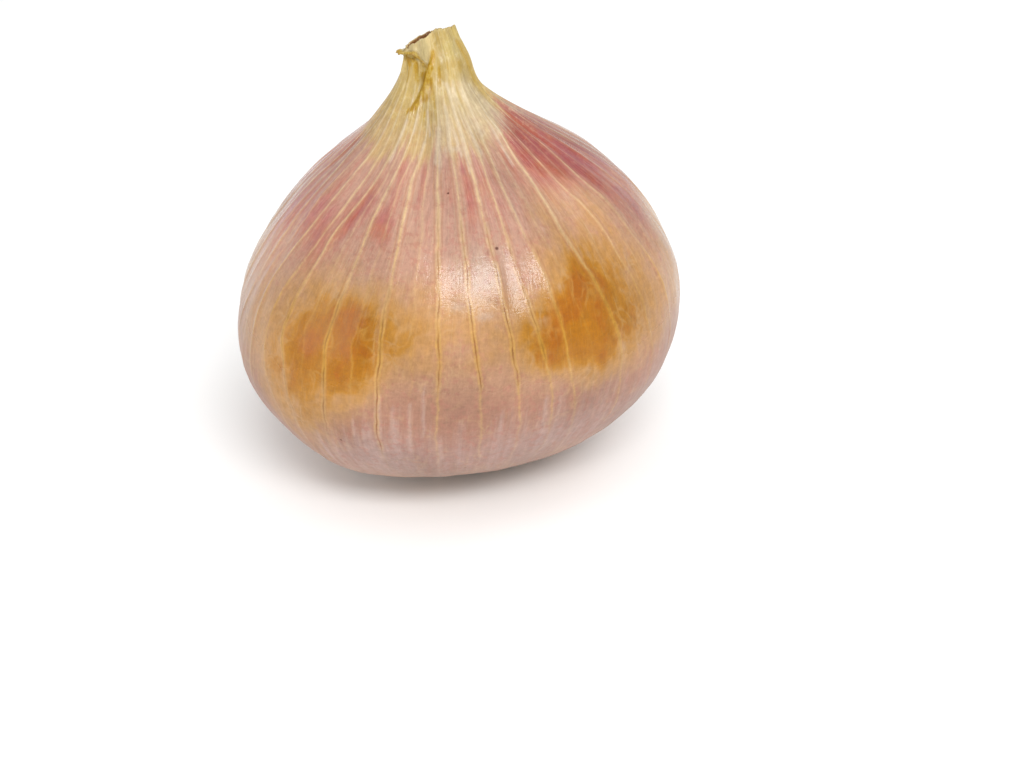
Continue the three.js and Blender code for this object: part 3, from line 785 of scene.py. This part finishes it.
# ---------------------------------------------------------------- dried roots under the plate
def roots_piece():
    g = np.random.default_rng(83)
    vv, ff, uv = [], [], []
    sides = 6
    count = 84
    for n in range(count):
        r0 = 6.6 * math.sqrt((n + 0.5) / count)
        a0 = n * 2.39996 + g.uniform(-0.25, 0.25)
        p = np.array([centre[0] + r0 * math.cos(a0), centre[1] + r0 * math.sin(a0), 2.55 - 0.09 * r0])
        out = np.array([math.cos(a0 + g.uniform(-0.9, 0.9)), math.sin(a0 + g.uniform(-0.9, 0.9)), 0.0])
        length = g.uniform(2.2, 5.2) * (0.75 + 0.25 * r0 / 6.6)
        rad = g.uniform(0.20, 0.36)
        segs = 7
        d = np.array([out[0] * 0.35, out[1] * 0.35, -1.0])
        pts = [p + np.array([0, 0, 0.5])]
        swirl = g.uniform(-0.5, 0.5)
        for k in range(segs):
            d = d / np.linalg.norm(d)
            q = pts[-1] + d * length / segs
            low = 0.06 + rad * (1 - 0.7 * (k + 1) / segs)
            if q[2] < low:
                q[2] = low
                d[2] = max(d[2], 0.0) + g.uniform(0, 0.25)
            rxy = q[:2] - centre[:2]
            if np.linalg.norm(rxy) > 8.0:
                q[:2] = centre[:2] + rxy * 8.0 / np.linalg.norm(rxy)
            pts.append(q)
            c_, s_ = math.cos(swirl), math.sin(swirl)
            d = np.array([d[0] * c_ - d[1] * s_ + out[0] * 0.28, d[0] * s_ + d[1] * c_ + out[1] * 0.28, d[2] + g.uniform(-0.15, 0.35)])
        pts = np.array(pts)
        tan = np.gradient(pts, axis=0)
        tan /= np.linalg.norm(tan, axis=1, keepdims=True)
        ref = np.array([out[1], -out[0], 0.13])
        start = len(vv)
        for k, (q, t) in enumerate(zip(pts, tan)):
            e1 = np.cross(t, ref)
            e1 /= np.linalg.norm(e1) + 1e-9
            e2 = np.cross(t, e1)
            rk = rad * (1.0 - 0.62 * k / segs) * (1 + 0.12 * math.sin(2.3 * k + n))
            for m in range(sides):
                ang = 2 * math.pi * m / sides
                w = q + (e1 * math.cos(ang) + e2 * math.sin(ang)) * rk
                w[2] = max(w[2], 0.02)
                vv.append(w)
        for k in range(segs):
            for m in range(sides):
                m2 = (m + 1) % sides
                ff.append([start + k * sides + m, start + k * sides + m2, start + (k + 1) * sides + m2, start + (k + 1) * sides + m])
                uv += [(k / segs, n / count), (k / segs, n / count), ((k + 1) / segs, n / count), ((k + 1) / segs, n / count)]
        ff.append([start + m for m in range(sides)][::-1])
        uv += [(0, n / count)] * sides
        ff.append([start + segs * sides + m for m in range(sides)])
        uv += [(1, n / count)] * sides
    return build("root_stubs", np.array(vv) * MM, ff, {"RootMap": np.array(uv)})


roots = roots_piece()


# ---------------------------------------------------------------- materials
LIT = 0.63  # the skin's colours are given as seen under the studio light; this takes them back to the skin itself


def lin(r, g, b):
    return tuple(LIT * (v / 12.92 if v <= 0.04045 else ((v + 0.055) / 1.055) ** 2.4) for v in (r / 255, g / 255, b / 255)) + (1.0,)


class Nodes:
    def __init__(self, name):
        self.mat = bpy.data.materials.new(name)
        self.mat.use_nodes = True
        self.t = self.mat.node_tree
        self.t.nodes.clear()
        self.out = self.t.nodes.new("ShaderNodeOutputMaterial")
        self.bsdf = self.t.nodes.new("ShaderNodeBsdfPrincipled")
        self.t.links.new(self.bsdf.outputs[0], self.out.inputs[0])

    def put(self, sock, v):
        if isinstance(v, bpy.types.NodeSocket):
            self.t.links.new(v, sock)
        elif v is not None:
            sock.default_value = v

    def math(self, op, a, b=None, c=None, clamp=False):
        n = self.t.nodes.new("ShaderNodeMath")
        n.operation, n.use_clamp = op, clamp
        for k, v in enumerate((a, b, c)):
            if v is not None:
                self.put(n.inputs[k], v)
        return n.outputs[0]

    def add(self, a, b):
        return self.math("ADD", a, b)

    def sub(self, a, b):
        return self.math("SUBTRACT", a, b)

    def mul(self, a, b):
        return self.math("MULTIPLY", a, b)

    def vec(self, op, a, b=None, scale=None):
        n = self.t.nodes.new("ShaderNodeVectorMath")
        n.operation = op
        self.put(n.inputs[0], a)
        if b is not None:
            self.put(n.inputs[1], b)
        if scale is not None:
            self.put(n.inputs[3], scale)
        return n.outputs[1] if op in ("LENGTH", "DOT_PRODUCT", "DISTANCE") else n.outputs[0]

    def xyz(self, v):
        n = self.t.nodes.new("ShaderNodeSeparateXYZ")
        self.put(n.inputs[0], v)
        return n.outputs

    def join(self, x, y, z):
        n = self.t.nodes.new("ShaderNodeCombineXYZ")
        for k, v in enumerate((x, y, z)):
            self.put(n.inputs[k], v)
        return n.outputs[0]

    def uv(self, name):
        n = self.t.nodes.new("ShaderNodeUVMap")
        n.uv_map = name
        return self.xyz(n.outputs[0])

    def obj_mm(self):
        n = self.t.nodes.new("ShaderNodeTexCoord")
        return self.vec("SCALE", n.outputs["Object"], scale=1000.0)

    def noise(self, v, scale, detail=2.0, rough=0.5, distort=0.0, lac=2.0):
        n = self.t.nodes.new("ShaderNodeTexNoise")
        self.put(n.inputs["Vector"], v)
        for key, val in (("Scale", scale), ("Detail", detail), ("Roughness", rough), ("Distortion", distort), ("Lacunarity", lac)):
            self.put(n.inputs[key], val)
        return n.outputs[0]

    def cells(self, v, scale, feature="DISTANCE_TO_EDGE", rand=1.0):
        n = self.t.nodes.new("ShaderNodeTexVoronoi")
        n.feature = feature
        self.put(n.inputs["Vector"], v)
        self.put(n.inputs["Scale"], scale)
        self.put(n.inputs["Randomness"], rand)
        return n.outputs["Distance"]

    def white(self, v):
        n = self.t.nodes.new("ShaderNodeTexWhiteNoise")
        n.noise_dimensions = "1D"
        self.put(n.inputs["W"], v)
        return n.outputs[0]

    def map(self, x, a, b, c=0.0, d=1.0, smooth=True):
        n = self.t.nodes.new("ShaderNodeMapRange")
        n.interpolation_type = "SMOOTHSTEP" if smooth else "LINEAR"
        n.clamp = True
        for k, v in enumerate((x, a, b, c, d)):
            self.put(n.inputs[k], v)
        return n.outputs[0]

    def mix(self, f, a, b, kind="MIX"):
        n = self.t.nodes.new("ShaderNodeMix")
        n.data_type = "RGBA"
        n.blend_type = kind
        n.clamp_factor = True
        self.put(n.inputs[0], f)
        self.put(n.inputs[6], a)
        self.put(n.inputs[7], b)
        return n.outputs[2]

    def ramp(self, f, stops):
        n = self.t.nodes.new("ShaderNodeValToRGB")
        n.color_ramp.interpolation = "EASE"
        el = n.color_ramp.elements
        while len(el) > 1:
            el.remove(el[-1])
        el[0].position, el[0].color = stops[0]
        for p, col_ in stops[1:]:
            e = el.new(p)
            e.color = col_
        self.put(n.inputs[0], f)
        return n.outputs[0]

    def bell(self, d, s):
        """exp(-(d/s)^2)"""
        q = self.mul(d, 1.0 / s)
        return self.math("EXPONENT", self.mul(self.mul(q, q), -1.0))


# small dark specks on the front: centre in mm, radius in mm
SPECKS = (((6.65, -25.73, 49.25), 0.42), ((3.92, -11.13, 59.48), 0.30), ((-0.89, -18.79, 55.23), 0.28), ((-17.9, -33.9, 19.9), 0.22),
          ((30.1, 12.0, 41.0), 0.35), ((-22.0, 27.5, 33.0), 0.32), ((8.0, 24.2, 50.0), 0.36))


def skin_material():
    m = Nodes("onion_papery_skin")
    p = m.obj_mm()
    px, py, h = m.xyz(p)
    vn, prom_ = m.uv("VeinMap")[0:2]
    crk, lane_ = m.uv("CrackMap")[0:2]
    amb, ros = m.uv("ZoneA")[0:2]
    blm_and_highlight, stw = m.uv("ZoneB")[0:2]
    azi, tone_and_shade_in = m.uv("ZoneC")[0:2]
    d = m.mul(m.sub(vn, 0.5), 60.0)
    ad = m.math("ABSOLUTE", d)
    ang = m.mul(azi, 2 * math.pi)
    cs, sn = m.math("COSINE", ang), m.math("SINE", ang)
    hn = m.mul(h, 0.01)

    # noise that runs with the veins: stretched from neck to root
    ring = lambda R, k, seed=0.0: m.join(m.mul(cs, R), m.add(m.mul(sn, R), seed), m.mul(h, k))
    streak = m.noise(ring(38.0, 0.055), 0.42, 3.0, 0.6)
    streak_f = m.noise(ring(38.0, 0.075, 9.0), 1.35, 3.0, 0.62)
    streak_w = m.noise(ring(38.0, 0.11, 31.0), 0.16, 2.0, 0.5)
    hair = m.noise(ring(38.0, 0.05, 77.0), 3.1, 2.0, 0.6)
    cloud = m.noise(p, 0.075, 3.0, 0.55)
    cloud2 = m.noise(m.vec("ADD", p, (31.0, 7.0, 3.0)), 0.22, 3.0, 0.6)
    grain = m.noise(m.join(m.mul(cs, 38.0), m.mul(sn, 38.0), m.mul(h, 0.7)), 1.0, 3.0, 0.68)
    across = m.noise(m.join(m.mul(cs, 15.0), m.mul(sn, 15.0), m.mul(h, 1.15)), 0.8, 3.0, 0.6)
    mesh_ = m.cells(m.vec("ADD", m.join(m.mul(cs, 38.0), m.mul(sn, 38.0), m.mul(h, 0.8)), m.vec("SCALE", m.join(grain, across, grain), scale=0.9)), 0.95)
    lane_r = m.white(m.math("ROUND", m.mul(lane_, 64.0)))
    lane_n = m.noise(m.join(m.mul(lane_r, 91.0), m.mul(h, 0.16), 0.0), 1.0, 2.0, 0.5)
    lane_m = m.noise(m.join(m.mul(lane_r, 57.0), m.mul(h, 0.35), 4.0), 1.0, 2.0, 0.6)

    # ground colour by height
    hh = m.add(hn, m.mul(m.sub(cloud, 0.5), 0.07))
    ground = m.ramp(hh, [
        (0.00, lin(194, 155, 120)),
        (0.08, lin(196, 154, 132)),
        (0.17, lin(186, 140, 124)),
        (0.25, lin(186, 134, 110)),
        (0.33, lin(199, 150, 118)),
        (0.41, lin(205, 158, 132)),
        (0.50, lin(206, 160, 138)),
        (0.58, lin(208, 161, 138)),
        (0.66, lin(210, 172, 112)),
        (0.72, lin(216, 186, 106)),
    ])
    col_ = ground
    # rosy fields between the veins
    r_in = m.add(m.mul(ros, m.add(0.55, m.mul(lane_n, 0.9))), m.mul(m.sub(streak, 0.5), 0.9))
    r_in = m.add(r_in, m.mul(m.sub(cloud2, 0.5), 0.35))
    band = m.mul(m.map(hn, 0.41, 0.50), m.map(hn, 0.66, 0.58))
    light = m.mul(band, m.map(m.add(m.mul(lane_n, 0.7), m.mul(streak, 0.5)), 0.40, 0.85))
    rose_hue = m.mix(m.map(m.add(cloud2, m.mul(m.sub(lane_m, 0.5), 0.8)), 0.3, 0.7), lin(199, 120, 95), lin(189, 106, 106))
    speck = m.noise(m.join(m.mul(cs, 38.0), m.mul(sn, 38.0), m.mul(h, 0.62)), 1.7, 3.0, 0.68)
    r_in = m.add(r_in, m.mul(m.sub(speck, 0.5), m.map(ros, 0.02, 0.35, 0.15, 0.70)))
    col_ = m.mix(m.mul(light, 0.30), col_, lin(205, 140, 122))
    col_ = m.mix(m.mul(m.map(r_in, 0.12, 0.70), 0.85), col_, rose_hue)
    deep = m.mix(m.map(cloud2, 0.38, 0.66), lin(178, 74, 48), lin(168, 62, 66))
    col_ = m.mix(m.mul(m.map(r_in, 0.60, 1.15), 0.92), col_, deep)
    # straw fingers coming down from the neck
    s_in = m.add(stw, m.add(m.mul(m.sub(streak_w, 0.5), 0.9), m.mul(m.sub(streak_f, 0.5), 0.7)))
    s_in = m.add(s_in, m.mul(m.sub(lane_n, 0.5), 1.1))
    s_in = m.add(s_in, m.mul(m.bell(d, 2.4), m.mul(prom_, m.map(hn, 0.50, 0.60, 0.0, 0.35))))
    straw_c = m.ramp(hh, [
        (0.50, lin(216, 172, 120)),
        (0.60, lin(214, 180, 120)),
        (0.67, lin(212, 181, 102)),
        (0.73, lin(219, 194, 120)),
    ])
    olive = m.mul(m.map(m.noise(m.join(m.mul(px, 1.5), m.mul(py, 0.9), m.mul(h, 0.34)), 0.55, 3.0, 0.6), 0.50, 0.68), m.map(hn, 0.58, 0.66, 0.0, 0.55))
    straw_c = m.mix(olive, straw_c, lin(202, 172, 78))
    fawn = m.mul(m.map(m.noise(m.join(m.add(m.mul(px, 1.4), 40.0), m.mul(py, 0.9), m.mul(h, 0.4)), 0.7, 3.0, 0.6), 0.52, 0.70), m.map(hn, 0.58, 0.66, 0.0, 0.40))
    straw_c = m.mix(fawn, straw_c, lin(226, 206, 158))
    col_ = m.mix(m.mul(m.map(s_in, 0.30, 0.85), m.map(hn, 0.44, 0.54, 0.0, 0.9)), col_, straw_c)
    # amber patches: soft blotches a few millimetres across, with paler borders here and there
    net_p = m.join(m.mul(cs, 38.0), m.mul(sn, 38.0), m.mul(h, 0.72))
    slow = m.noise(m.vec("ADD", p, (5.0, 9.0, 1.0)), 0.16, 2.0, 0.5)
    slow2 = m.noise(m.vec("ADD", p, (25.0, 3.0, 41.0)), 0.16, 2.0, 0.5)
    warp = m.vec("ADD", net_p, m.vec("SCALE", m.join(slow, slow2, slow), scale=7.0))
    net = m.cells(warp, 0.22)
    blot = m.map(m.noise(warp, 0.30, 2.0, 0.55), 0.34, 0.66)
    blot2 = m.noise(m.vec("ADD", warp, (7.0, 31.0, 3.0)), 0.20, 2.0, 0.5)
    rich = m.map(amb, 0.10, 0.55)
    a_in = m.add(amb, m.add(m.mul(m.sub(cloud2, 0.5), 0.30), m.mul(m.sub(streak, 0.5), 0.14)))
    a_in = m.add(a_in, m.mul(m.sub(lane_m, 0.5), 0.10))
    a_in = m.add(a_in, m.mul(rich, m.sub(m.mul(m.sub(blot, 0.50), 0.21), m.mul(m.map(net, 0.20, 0.0), 0.10))))
    a_on = m.map(amb, 0.0, 0.16)
    tan = m.mix(m.map(hn, 0.55, 0.62), lin(206, 155, 100), lin(210, 178, 104))
    amber_l = m.mix(m.map(hn, 0.55, 0.62), lin(202, 139, 34), lin(208, 170, 60))
    amber_d = m.mix(m.map(hn, 0.55, 0.62), m.mix(m.map(blot2, 0.44, 0.62), lin(188, 122, 0), lin(185, 109, 0)), lin(192, 142, 0))
    col_ = m.mix(m.mul(m.map(a_in, -0.04, 0.34), a_on), col_, tan)
    col_ = m.mix(m.mul(m.mul(m.map(a_in, 0.14, 0.66), a_on), 0.94), col_, amber_l)
    col_ = m.mix(m.mul(m.mul(m.map(a_in, 0.34, 0.98), a_on), 0.98), col_, amber_d)
    # fine pale net of cell walls, here and there
    net2 = m.cells(m.vec("ADD", warp, (13.0, 2.0, 5.0)), 0.40)
    net_line = m.mul(m.map(net2, 0.16, 0.0), m.map(m.noise(m.vec("ADD", p, (0.0, 17.0, 0.0)), 0.20, 2.0, 0.5), 0.46, 0.68))
    col_ = m.mix(m.mul(net_line, m.map(hn, 0.54, 0.46, 0.0, 0.32)), col_, lin(222, 180, 130))

    # whitish bloom low down, cream on the neck, and painted highlights in cream on the neck's right and pale on the
    # front
    b_in = m.add(blm_and_highlight, m.add(m.mul(m.sub(streak_f, 0.5), 0.8), m.mul(m.sub(streak, 0.5), 0.6)))
    b_on = m.map(blm_and_highlight, 0.03, 0.30)
    bloom_and_highlight_c = m.ramp(hn, [
        (0.10, lin(219, 190, 182)),
        (0.34, lin(224, 194, 184)),
        (0.44, lin(203, 174, 152)),
        (0.50, lin(206, 178, 156)),
        (0.58, lin(230, 207, 184)),
        (0.66, lin(226, 206, 172)),
        (0.71, lin(226, 205, 152)),
    ])
    col_ = m.mix(m.mul(m.mul(m.map(b_in, 0.10, 0.95), b_on), m.map(hn, 0.30, 0.60, 0.50, 0.66)), col_, bloom_and_highlight_c)

    # fine threads
    col_ = m.mix(m.mul(m.map(hair, 0.56, 0.74), m.mul(m.map(hn, 0.30, 0.58, 0.08, 0.26), m.map(hn, 0.60, 0.68, 1.0, 0.55))), col_, m.mix(m.map(hn, 0.52, 0.60), lin(229, 202, 156), lin(236, 218, 186)))
    col_ = m.mix(m.mul(m.map(hair, 0.44, 0.28), m.mul(m.map(hn, 0.30, 0.58, 0.06, 0.16), m.map(hn, 0.60, 0.68, 1.0, 0.55))), col_, m.mix(m.map(hn, 0.54, 0.62), lin(184, 130, 96), lin(188, 146, 70)))

    # veins
    vein_c = m.ramp(hn, [
        (0.12, lin(216, 180, 156)),
        (0.27, lin(214, 168, 112)),
        (0.37, lin(219, 167, 86)),
        (0.46, lin(228, 186, 134)),
        (0.57, lin(230, 197, 152)),
        (0.62, lin(235, 214, 178)),
        (0.70, lin(230, 210, 160)),
    ])
    jog = m.mul(m.sub(m.noise(m.join(m.mul(lane_r, 33.0), m.mul(h, 0.5), 9.0), 1.0, 2.0, 0.6), 0.5), 0.9)
    dj = m.add(d, jog)
    adj = m.math("ABSOLUTE", dj)
    line = m.mul(m.bell(m.mul(dj, m.map(hn, 0.55, 0.61, 1.0, 1.45)), 0.80), prom_)
    halo = m.mul(m.bell(dj, 3.0), prom_)
    edge = m.mul(m.bell(m.sub(adj, 2.1), 0.60), prom_)
    vv_ = m.add(0.92, m.mul(m.sub(grain, 0.5), 1.2))
    col_ = m.mix(m.mul(edge, m.map(hn, 0.35, 0.5, 0.14, 0.34)), col_, m.mix(m.map(hn, 0.54, 0.62), lin(182, 112, 78), lin(190, 148, 76)))
    col_ = m.mix(m.mul(halo, 0.17), col_, vein_c)
    col_ = m.mix(m.mul(line, vv_), col_, vein_c)
    broken = m.map(m.noise(m.join(m.mul(lane_r, 71.0), m.mul(h, 0.45), 2.0), 1.0, 2.0, 0.6), 0.30, 0.46, 0.45, 1.0)
    shoulder = m.mul(m.bell(m.sub(adj, 1.15), 0.62), m.mul(crk, 0.80))
    col_ = m.mix(m.mul(shoulder, vv_), col_, vein_c)
    cr = m.mul(m.bell(dj, 0.46), m.mul(crk, broken))
    col_ = m.mix(m.math("MINIMUM", m.mul(cr, 1.0), 0.86), col_, m.mix(m.map(a_in, 0.2, 0.7), lin(150, 92, 44), lin(150, 100, 0)))

    # the slit and the inside of the neck
    brown = m.mul(m.map(ros, 0.25, 0.75), m.map(hn, 0.685, 0.70))
    col_ = m.mix(brown, col_, m.mix(m.map(cloud2, 0.35, 0.65), lin(128, 74, 34), lin(166, 112, 58)))
    # around the root plate
    under = m.map(h, 3.2, 0.6)
    col_ = m.mix(m.mul(under, m.map(streak_f, 0.3, 0.7, 0.55, 0.95)), col_, m.mix(cloud2, lin(168, 124, 78), lin(196, 160, 112)))

    # grain, tone with painted shade in the neck's creases, and specks
    fibre = m.noise(ring(38.0, 0.32, 55.0), 3.4, 2.0, 0.6)
    weft = m.noise(m.join(m.mul(cs, 34.0), m.mul(sn, 34.0), m.mul(h, 2.4)), 1.0, 2.0, 0.6)
    fine_on = m.map(hn, 0.62, 0.68, 1.0, 0.5)
    val = m.add(1.0, m.add(m.mul(m.sub(grain, 0.5), 0.46), m.mul(m.sub(tone_and_shade_in, 0.5), 1.2)))
    val = m.add(val, m.add(m.mul(m.sub(across, 0.5), 0.18), m.mul(m.map(mesh_, 0.10, 0.0), 0.045)))
    crink = m.noise(m.join(px, m.mul(py, 0.6), m.mul(h, 0.8)), 1.15, 4.0, 0.7)
    val = m.add(val, m.mul(fine_on, m.add(m.mul(m.sub(fibre, 0.5), 0.20), m.mul(m.sub(weft, 0.5), 0.28))))
    val = m.add(val, m.mul(m.sub(crink, 0.5), m.map(hn, 0.52, 0.62, 0.16, 0.44)))
    col_ = m.mix(m.mul(m.map(crink, 0.52, 0.64), m.map(hn, 0.56, 0.64, 0.0, 0.34)), col_, lin(228, 210, 162))
    col_ = m.mix(m.mul(m.map(a_in, 0.42, 0.95), m.mul(a_on, m.map(hn, 0.60, 0.55))), col_, (0.95, 0.88, 0.42, 1.0), "MULTIPLY")
    gold_on = m.mul(m.map(m.add(amb, m.mul(m.sub(fibre, 0.5), 0.5)), 0.34, 1.15), m.map(hn, 0.61, 0.645, 0.0, 0.82))
    col_ = m.mix(gold_on, col_, m.mix(m.map(crink, 0.42, 0.60), lin(190, 142, 0), lin(206, 168, 40)))
    ruddy = m.mul(m.map(m.noise(m.vec("ADD", p, (11.0, 5.0, 2.0)), 0.85, 3.0, 0.65), 0.50, 0.66), m.map(hn, 0.62, 0.52, 0.10, 0.40))
    col_ = m.mix(m.mul(ruddy, m.map(a_in, 0.35, 0.05, 0.0, 1.0)), col_, lin(196, 126, 108))
    col_ = m.mix(1.0, col_, m.join(val, val, val), "MULTIPLY")
    dots = m.cells(m.vec("ADD", p, (3.0, 1.0, 2.0)), 0.115, "F1")
    dot_on = m.mul(m.map(dots, 0.036, 0.018), m.map(m.noise(p, 0.5, 0.0), 0.52, 0.6))
    col_ = m.mix(m.mul(dot_on, 0.55), col_, lin(120, 62, 40))
    for at, size in SPECKS:
        far = m.add(m.vec("DISTANCE", p, at), m.mul(m.sub(grain, 0.5), 0.20))
        col_ = m.mix(m.mul(m.map(far, size, size * 0.45), 0.85), col_, lin(96, 40, 26))
    m.put(m.bsdf.inputs["Base Color"], col_)

    rough = m.add(0.175, m.add(m.mul(m.sub(grain, 0.5), m.map(h, 31.0, 41.0, 0.02, 0.30)), m.mul(m.sub(cloud2, 0.5), 0.14)))
    rough = m.add(rough, m.add(m.mul(blm_and_highlight, 0.05), m.map(h, 37.0, 21.0, 0.0, 0.27)))
    rough = m.math("MINIMUM", m.math("MAXIMUM", rough, 0.15), 0.75)
    m.put(m.bsdf.inputs["Roughness"], rough)
    m.bsdf.inputs["Specular IOR Level"].default_value = 0.42
    m.bsdf.inputs["IOR"].default_value = 1.45
    m.bsdf.inputs["Sheen Weight"].default_value = 0.03
    m.bsdf.inputs["Sheen Roughness"].default_value = 0.4

    bump_h = m.add(m.mul(grain, 0.9), m.add(m.mul(hair, 0.35), m.mul(streak_f, 0.35)))
    bump_h = m.add(bump_h, m.add(m.mul(across, 0.45), m.mul(m.map(mesh_, 0.0, 0.12), 0.05)))
    bump_h = m.add(bump_h, m.add(m.mul(m.add(line, shoulder), 0.20), m.mul(cr, -0.45)))
    bump_h = m.add(bump_h, m.add(m.mul(fibre, 0.45), m.mul(weft, 0.35)))
    bump_h = m.add(bump_h, m.mul(m.bell(m.sub(h, 46.0), 5.0), m.add(m.mul(fibre, 0.25), m.mul(weft, 0.55))))
    bump_h = m.mul(bump_h, m.map(h, 12.0, 33.0, 0.32, 1.0))
    b = m.t.nodes.new("ShaderNodeBump")
    b.inputs["Strength"].default_value = 1.0
    b.inputs["Distance"].default_value = 0.000036
    m.put(b.inputs["Height"], bump_h)
    m.put(m.bsdf.inputs["Normal"], b.outputs[0])
    return m.mat


def lip_material():
    m = Nodes("torn_lip")
    p = m.obj_mm()
    u, v, _ = m.uv("LipMap")
    n1 = m.noise(p, 1.1, 3.0, 0.6)
    n2 = m.noise(m.vec("MULTIPLY", p, (3.0, 3.0, 0.6)), 1.0, 2.0, 0.6)
    # painted shade: a darker gold along the lip's curled-under edge
    edge = m.map(m.math("ABSOLUTE", m.sub(v, 0.44)), 0.16, 0.02)
    col_ = m.mix(m.map(n1, 0.35, 0.65), lin(192, 152, 46), lin(220, 192, 96))
    col_ = m.mix(m.mul(edge, m.map(n2, 0.3, 0.6)), col_, lin(178, 136, 24))
    col_ = m.mix(m.map(u, 0.10, 0.0), col_, lin(234, 222, 190))
    m.put(m.bsdf.inputs["Base Color"], col_)
    m.put(m.bsdf.inputs["Roughness"], m.add(0.42, m.mul(m.sub(n1, 0.5), 0.2)))
    b = m.t.nodes.new("ShaderNodeBump")
    b.inputs["Distance"].default_value = 0.00005
    m.put(b.inputs["Height"], n2)
    m.put(m.bsdf.inputs["Normal"], b.outputs[0])
    return m.mat


def root_material():
    m = Nodes("dried_roots")
    p = m.obj_mm()
    u, v, _ = m.uv("RootMap")
    n1 = m.noise(p, 0.9, 3.0, 0.6)
    rnd = m.white(m.mul(v, 97.0))
    col_ = m.mix(rnd, lin(158, 118, 70), lin(204, 172, 120))
    col_ = m.mix(m.map(n1, 0.4, 0.7, 0.0, 0.6), col_, lin(120, 84, 48))
    col_ = m.mix(m.map(u, 0.5, 1.0, 0.0, 0.5), col_, lin(112, 76, 44))
    m.put(m.bsdf.inputs["Base Color"], col_)
    m.put(m.bsdf.inputs["Roughness"], m.add(0.7, m.mul(m.sub(n1, 0.5), 0.2)))
    b = m.t.nodes.new("ShaderNodeBump")
    b.inputs["Distance"].default_value = 0.00006
    m.put(b.inputs["Height"], n1)
    m.put(m.bsdf.inputs["Normal"], b.outputs[0])
    return m.mat


bulb.data.materials.append(skin_material())
lip.data.materials.append(lip_material())
roots.data.materials.append(root_material())

for piece in (bulb, lip, roots):
    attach(piece, "root")
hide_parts("onion_bulb")

# ---------------------------------------------------------------- floor, light and camera
fm = bpy.data.meshes.new("floor")
fm.from_pydata([(-3, -3, 0), (3, -3, 0), (3, 3, 0), (-3, 3, 0)], [], [(0, 1, 2, 3)])
floor = bpy.data.objects.new("floor", fm)
bpy.context.scene.collection.objects.link(floor)
fmat = Nodes("pale_floor")
fmat.bsdf.inputs["Base Color"].default_value = (0.925, 0.93, 0.925, 1)
fmat.bsdf.inputs["Roughness"].default_value = 0.6
fmat.bsdf.inputs["Specular IOR Level"].default_value = 0.2
fm.materials.append(fmat.mat)

world = bpy.data.worlds.new("studio")
bpy.context.scene.world = world
world.use_nodes = True
bg = world.node_tree.nodes["Background"]
bg.inputs[0].default_value = (1.0, 1.0, 1.0, 1)
bg.inputs[1].default_value = 0.80


def softbox(name, at, aim, size, power, shape="SQUARE", roll=0.0):
    L = bpy.data.lights.new(name, "AREA")
    L.shape = shape
    L.size = size[0]
    if shape in ("RECTANGLE", "ELLIPSE"):
        L.size_y = size[1]
    L.energy = power
    ob = bpy.data.objects.new(name, L)
    bpy.context.scene.collection.objects.link(ob)
    ob.location = at
    from mathutils import Quaternion, Vector

    ob.rotation_mode = "QUATERNION"
    ob.rotation_quaternion = (Vector(aim) - Vector(at)).to_track_quat("-Z", "Y") @ Quaternion((0, 0, 1), math.radians(roll))
    return ob


def around(azimuth, elevation, distance, z=0.045):
    a, e = math.radians(azimuth), math.radians(elevation)
    return (math.sin(a) * math.cos(e) * distance, -math.cos(a) * math.cos(e) * distance, z + math.sin(e) * distance)


softbox("front_softbox", around(18.5, 45.8, 0.75), (0, 0, 0.045), (0.50, 0.19), 3.6, "RECTANGLE", -20.0)
softbox("top_softbox", around(35, 72, 0.95), (0, 0, 0.04), (0.60, 0.60), 0.6)
softbox("rear_softbox", around(112, 50, 0.75), (0, 0, 0.05), (0.30, 0.30), 0.36)
softbox("left_softbox", around(-66, 22, 0.8), (0, 0, 0.03), (0.5, 0.5), 1.1)

cam = bpy.data.cameras.new("camera")
cam.lens = 52.73
cam.sensor_width = 36.0
cam.clip_start, cam.clip_end = 0.01, 10.0
co = bpy.data.objects.new("camera", cam)
bpy.context.scene.collection.objects.link(co)
co.location = (0.008925, -0.23109, 0.148613)
co.rotation_euler = (math.radians(59), 0, 0)
bpy.context.scene.camera = co
bpy.context.scene.view_settings.view_transform = "Standard"

bpy.context.view_layer.update()
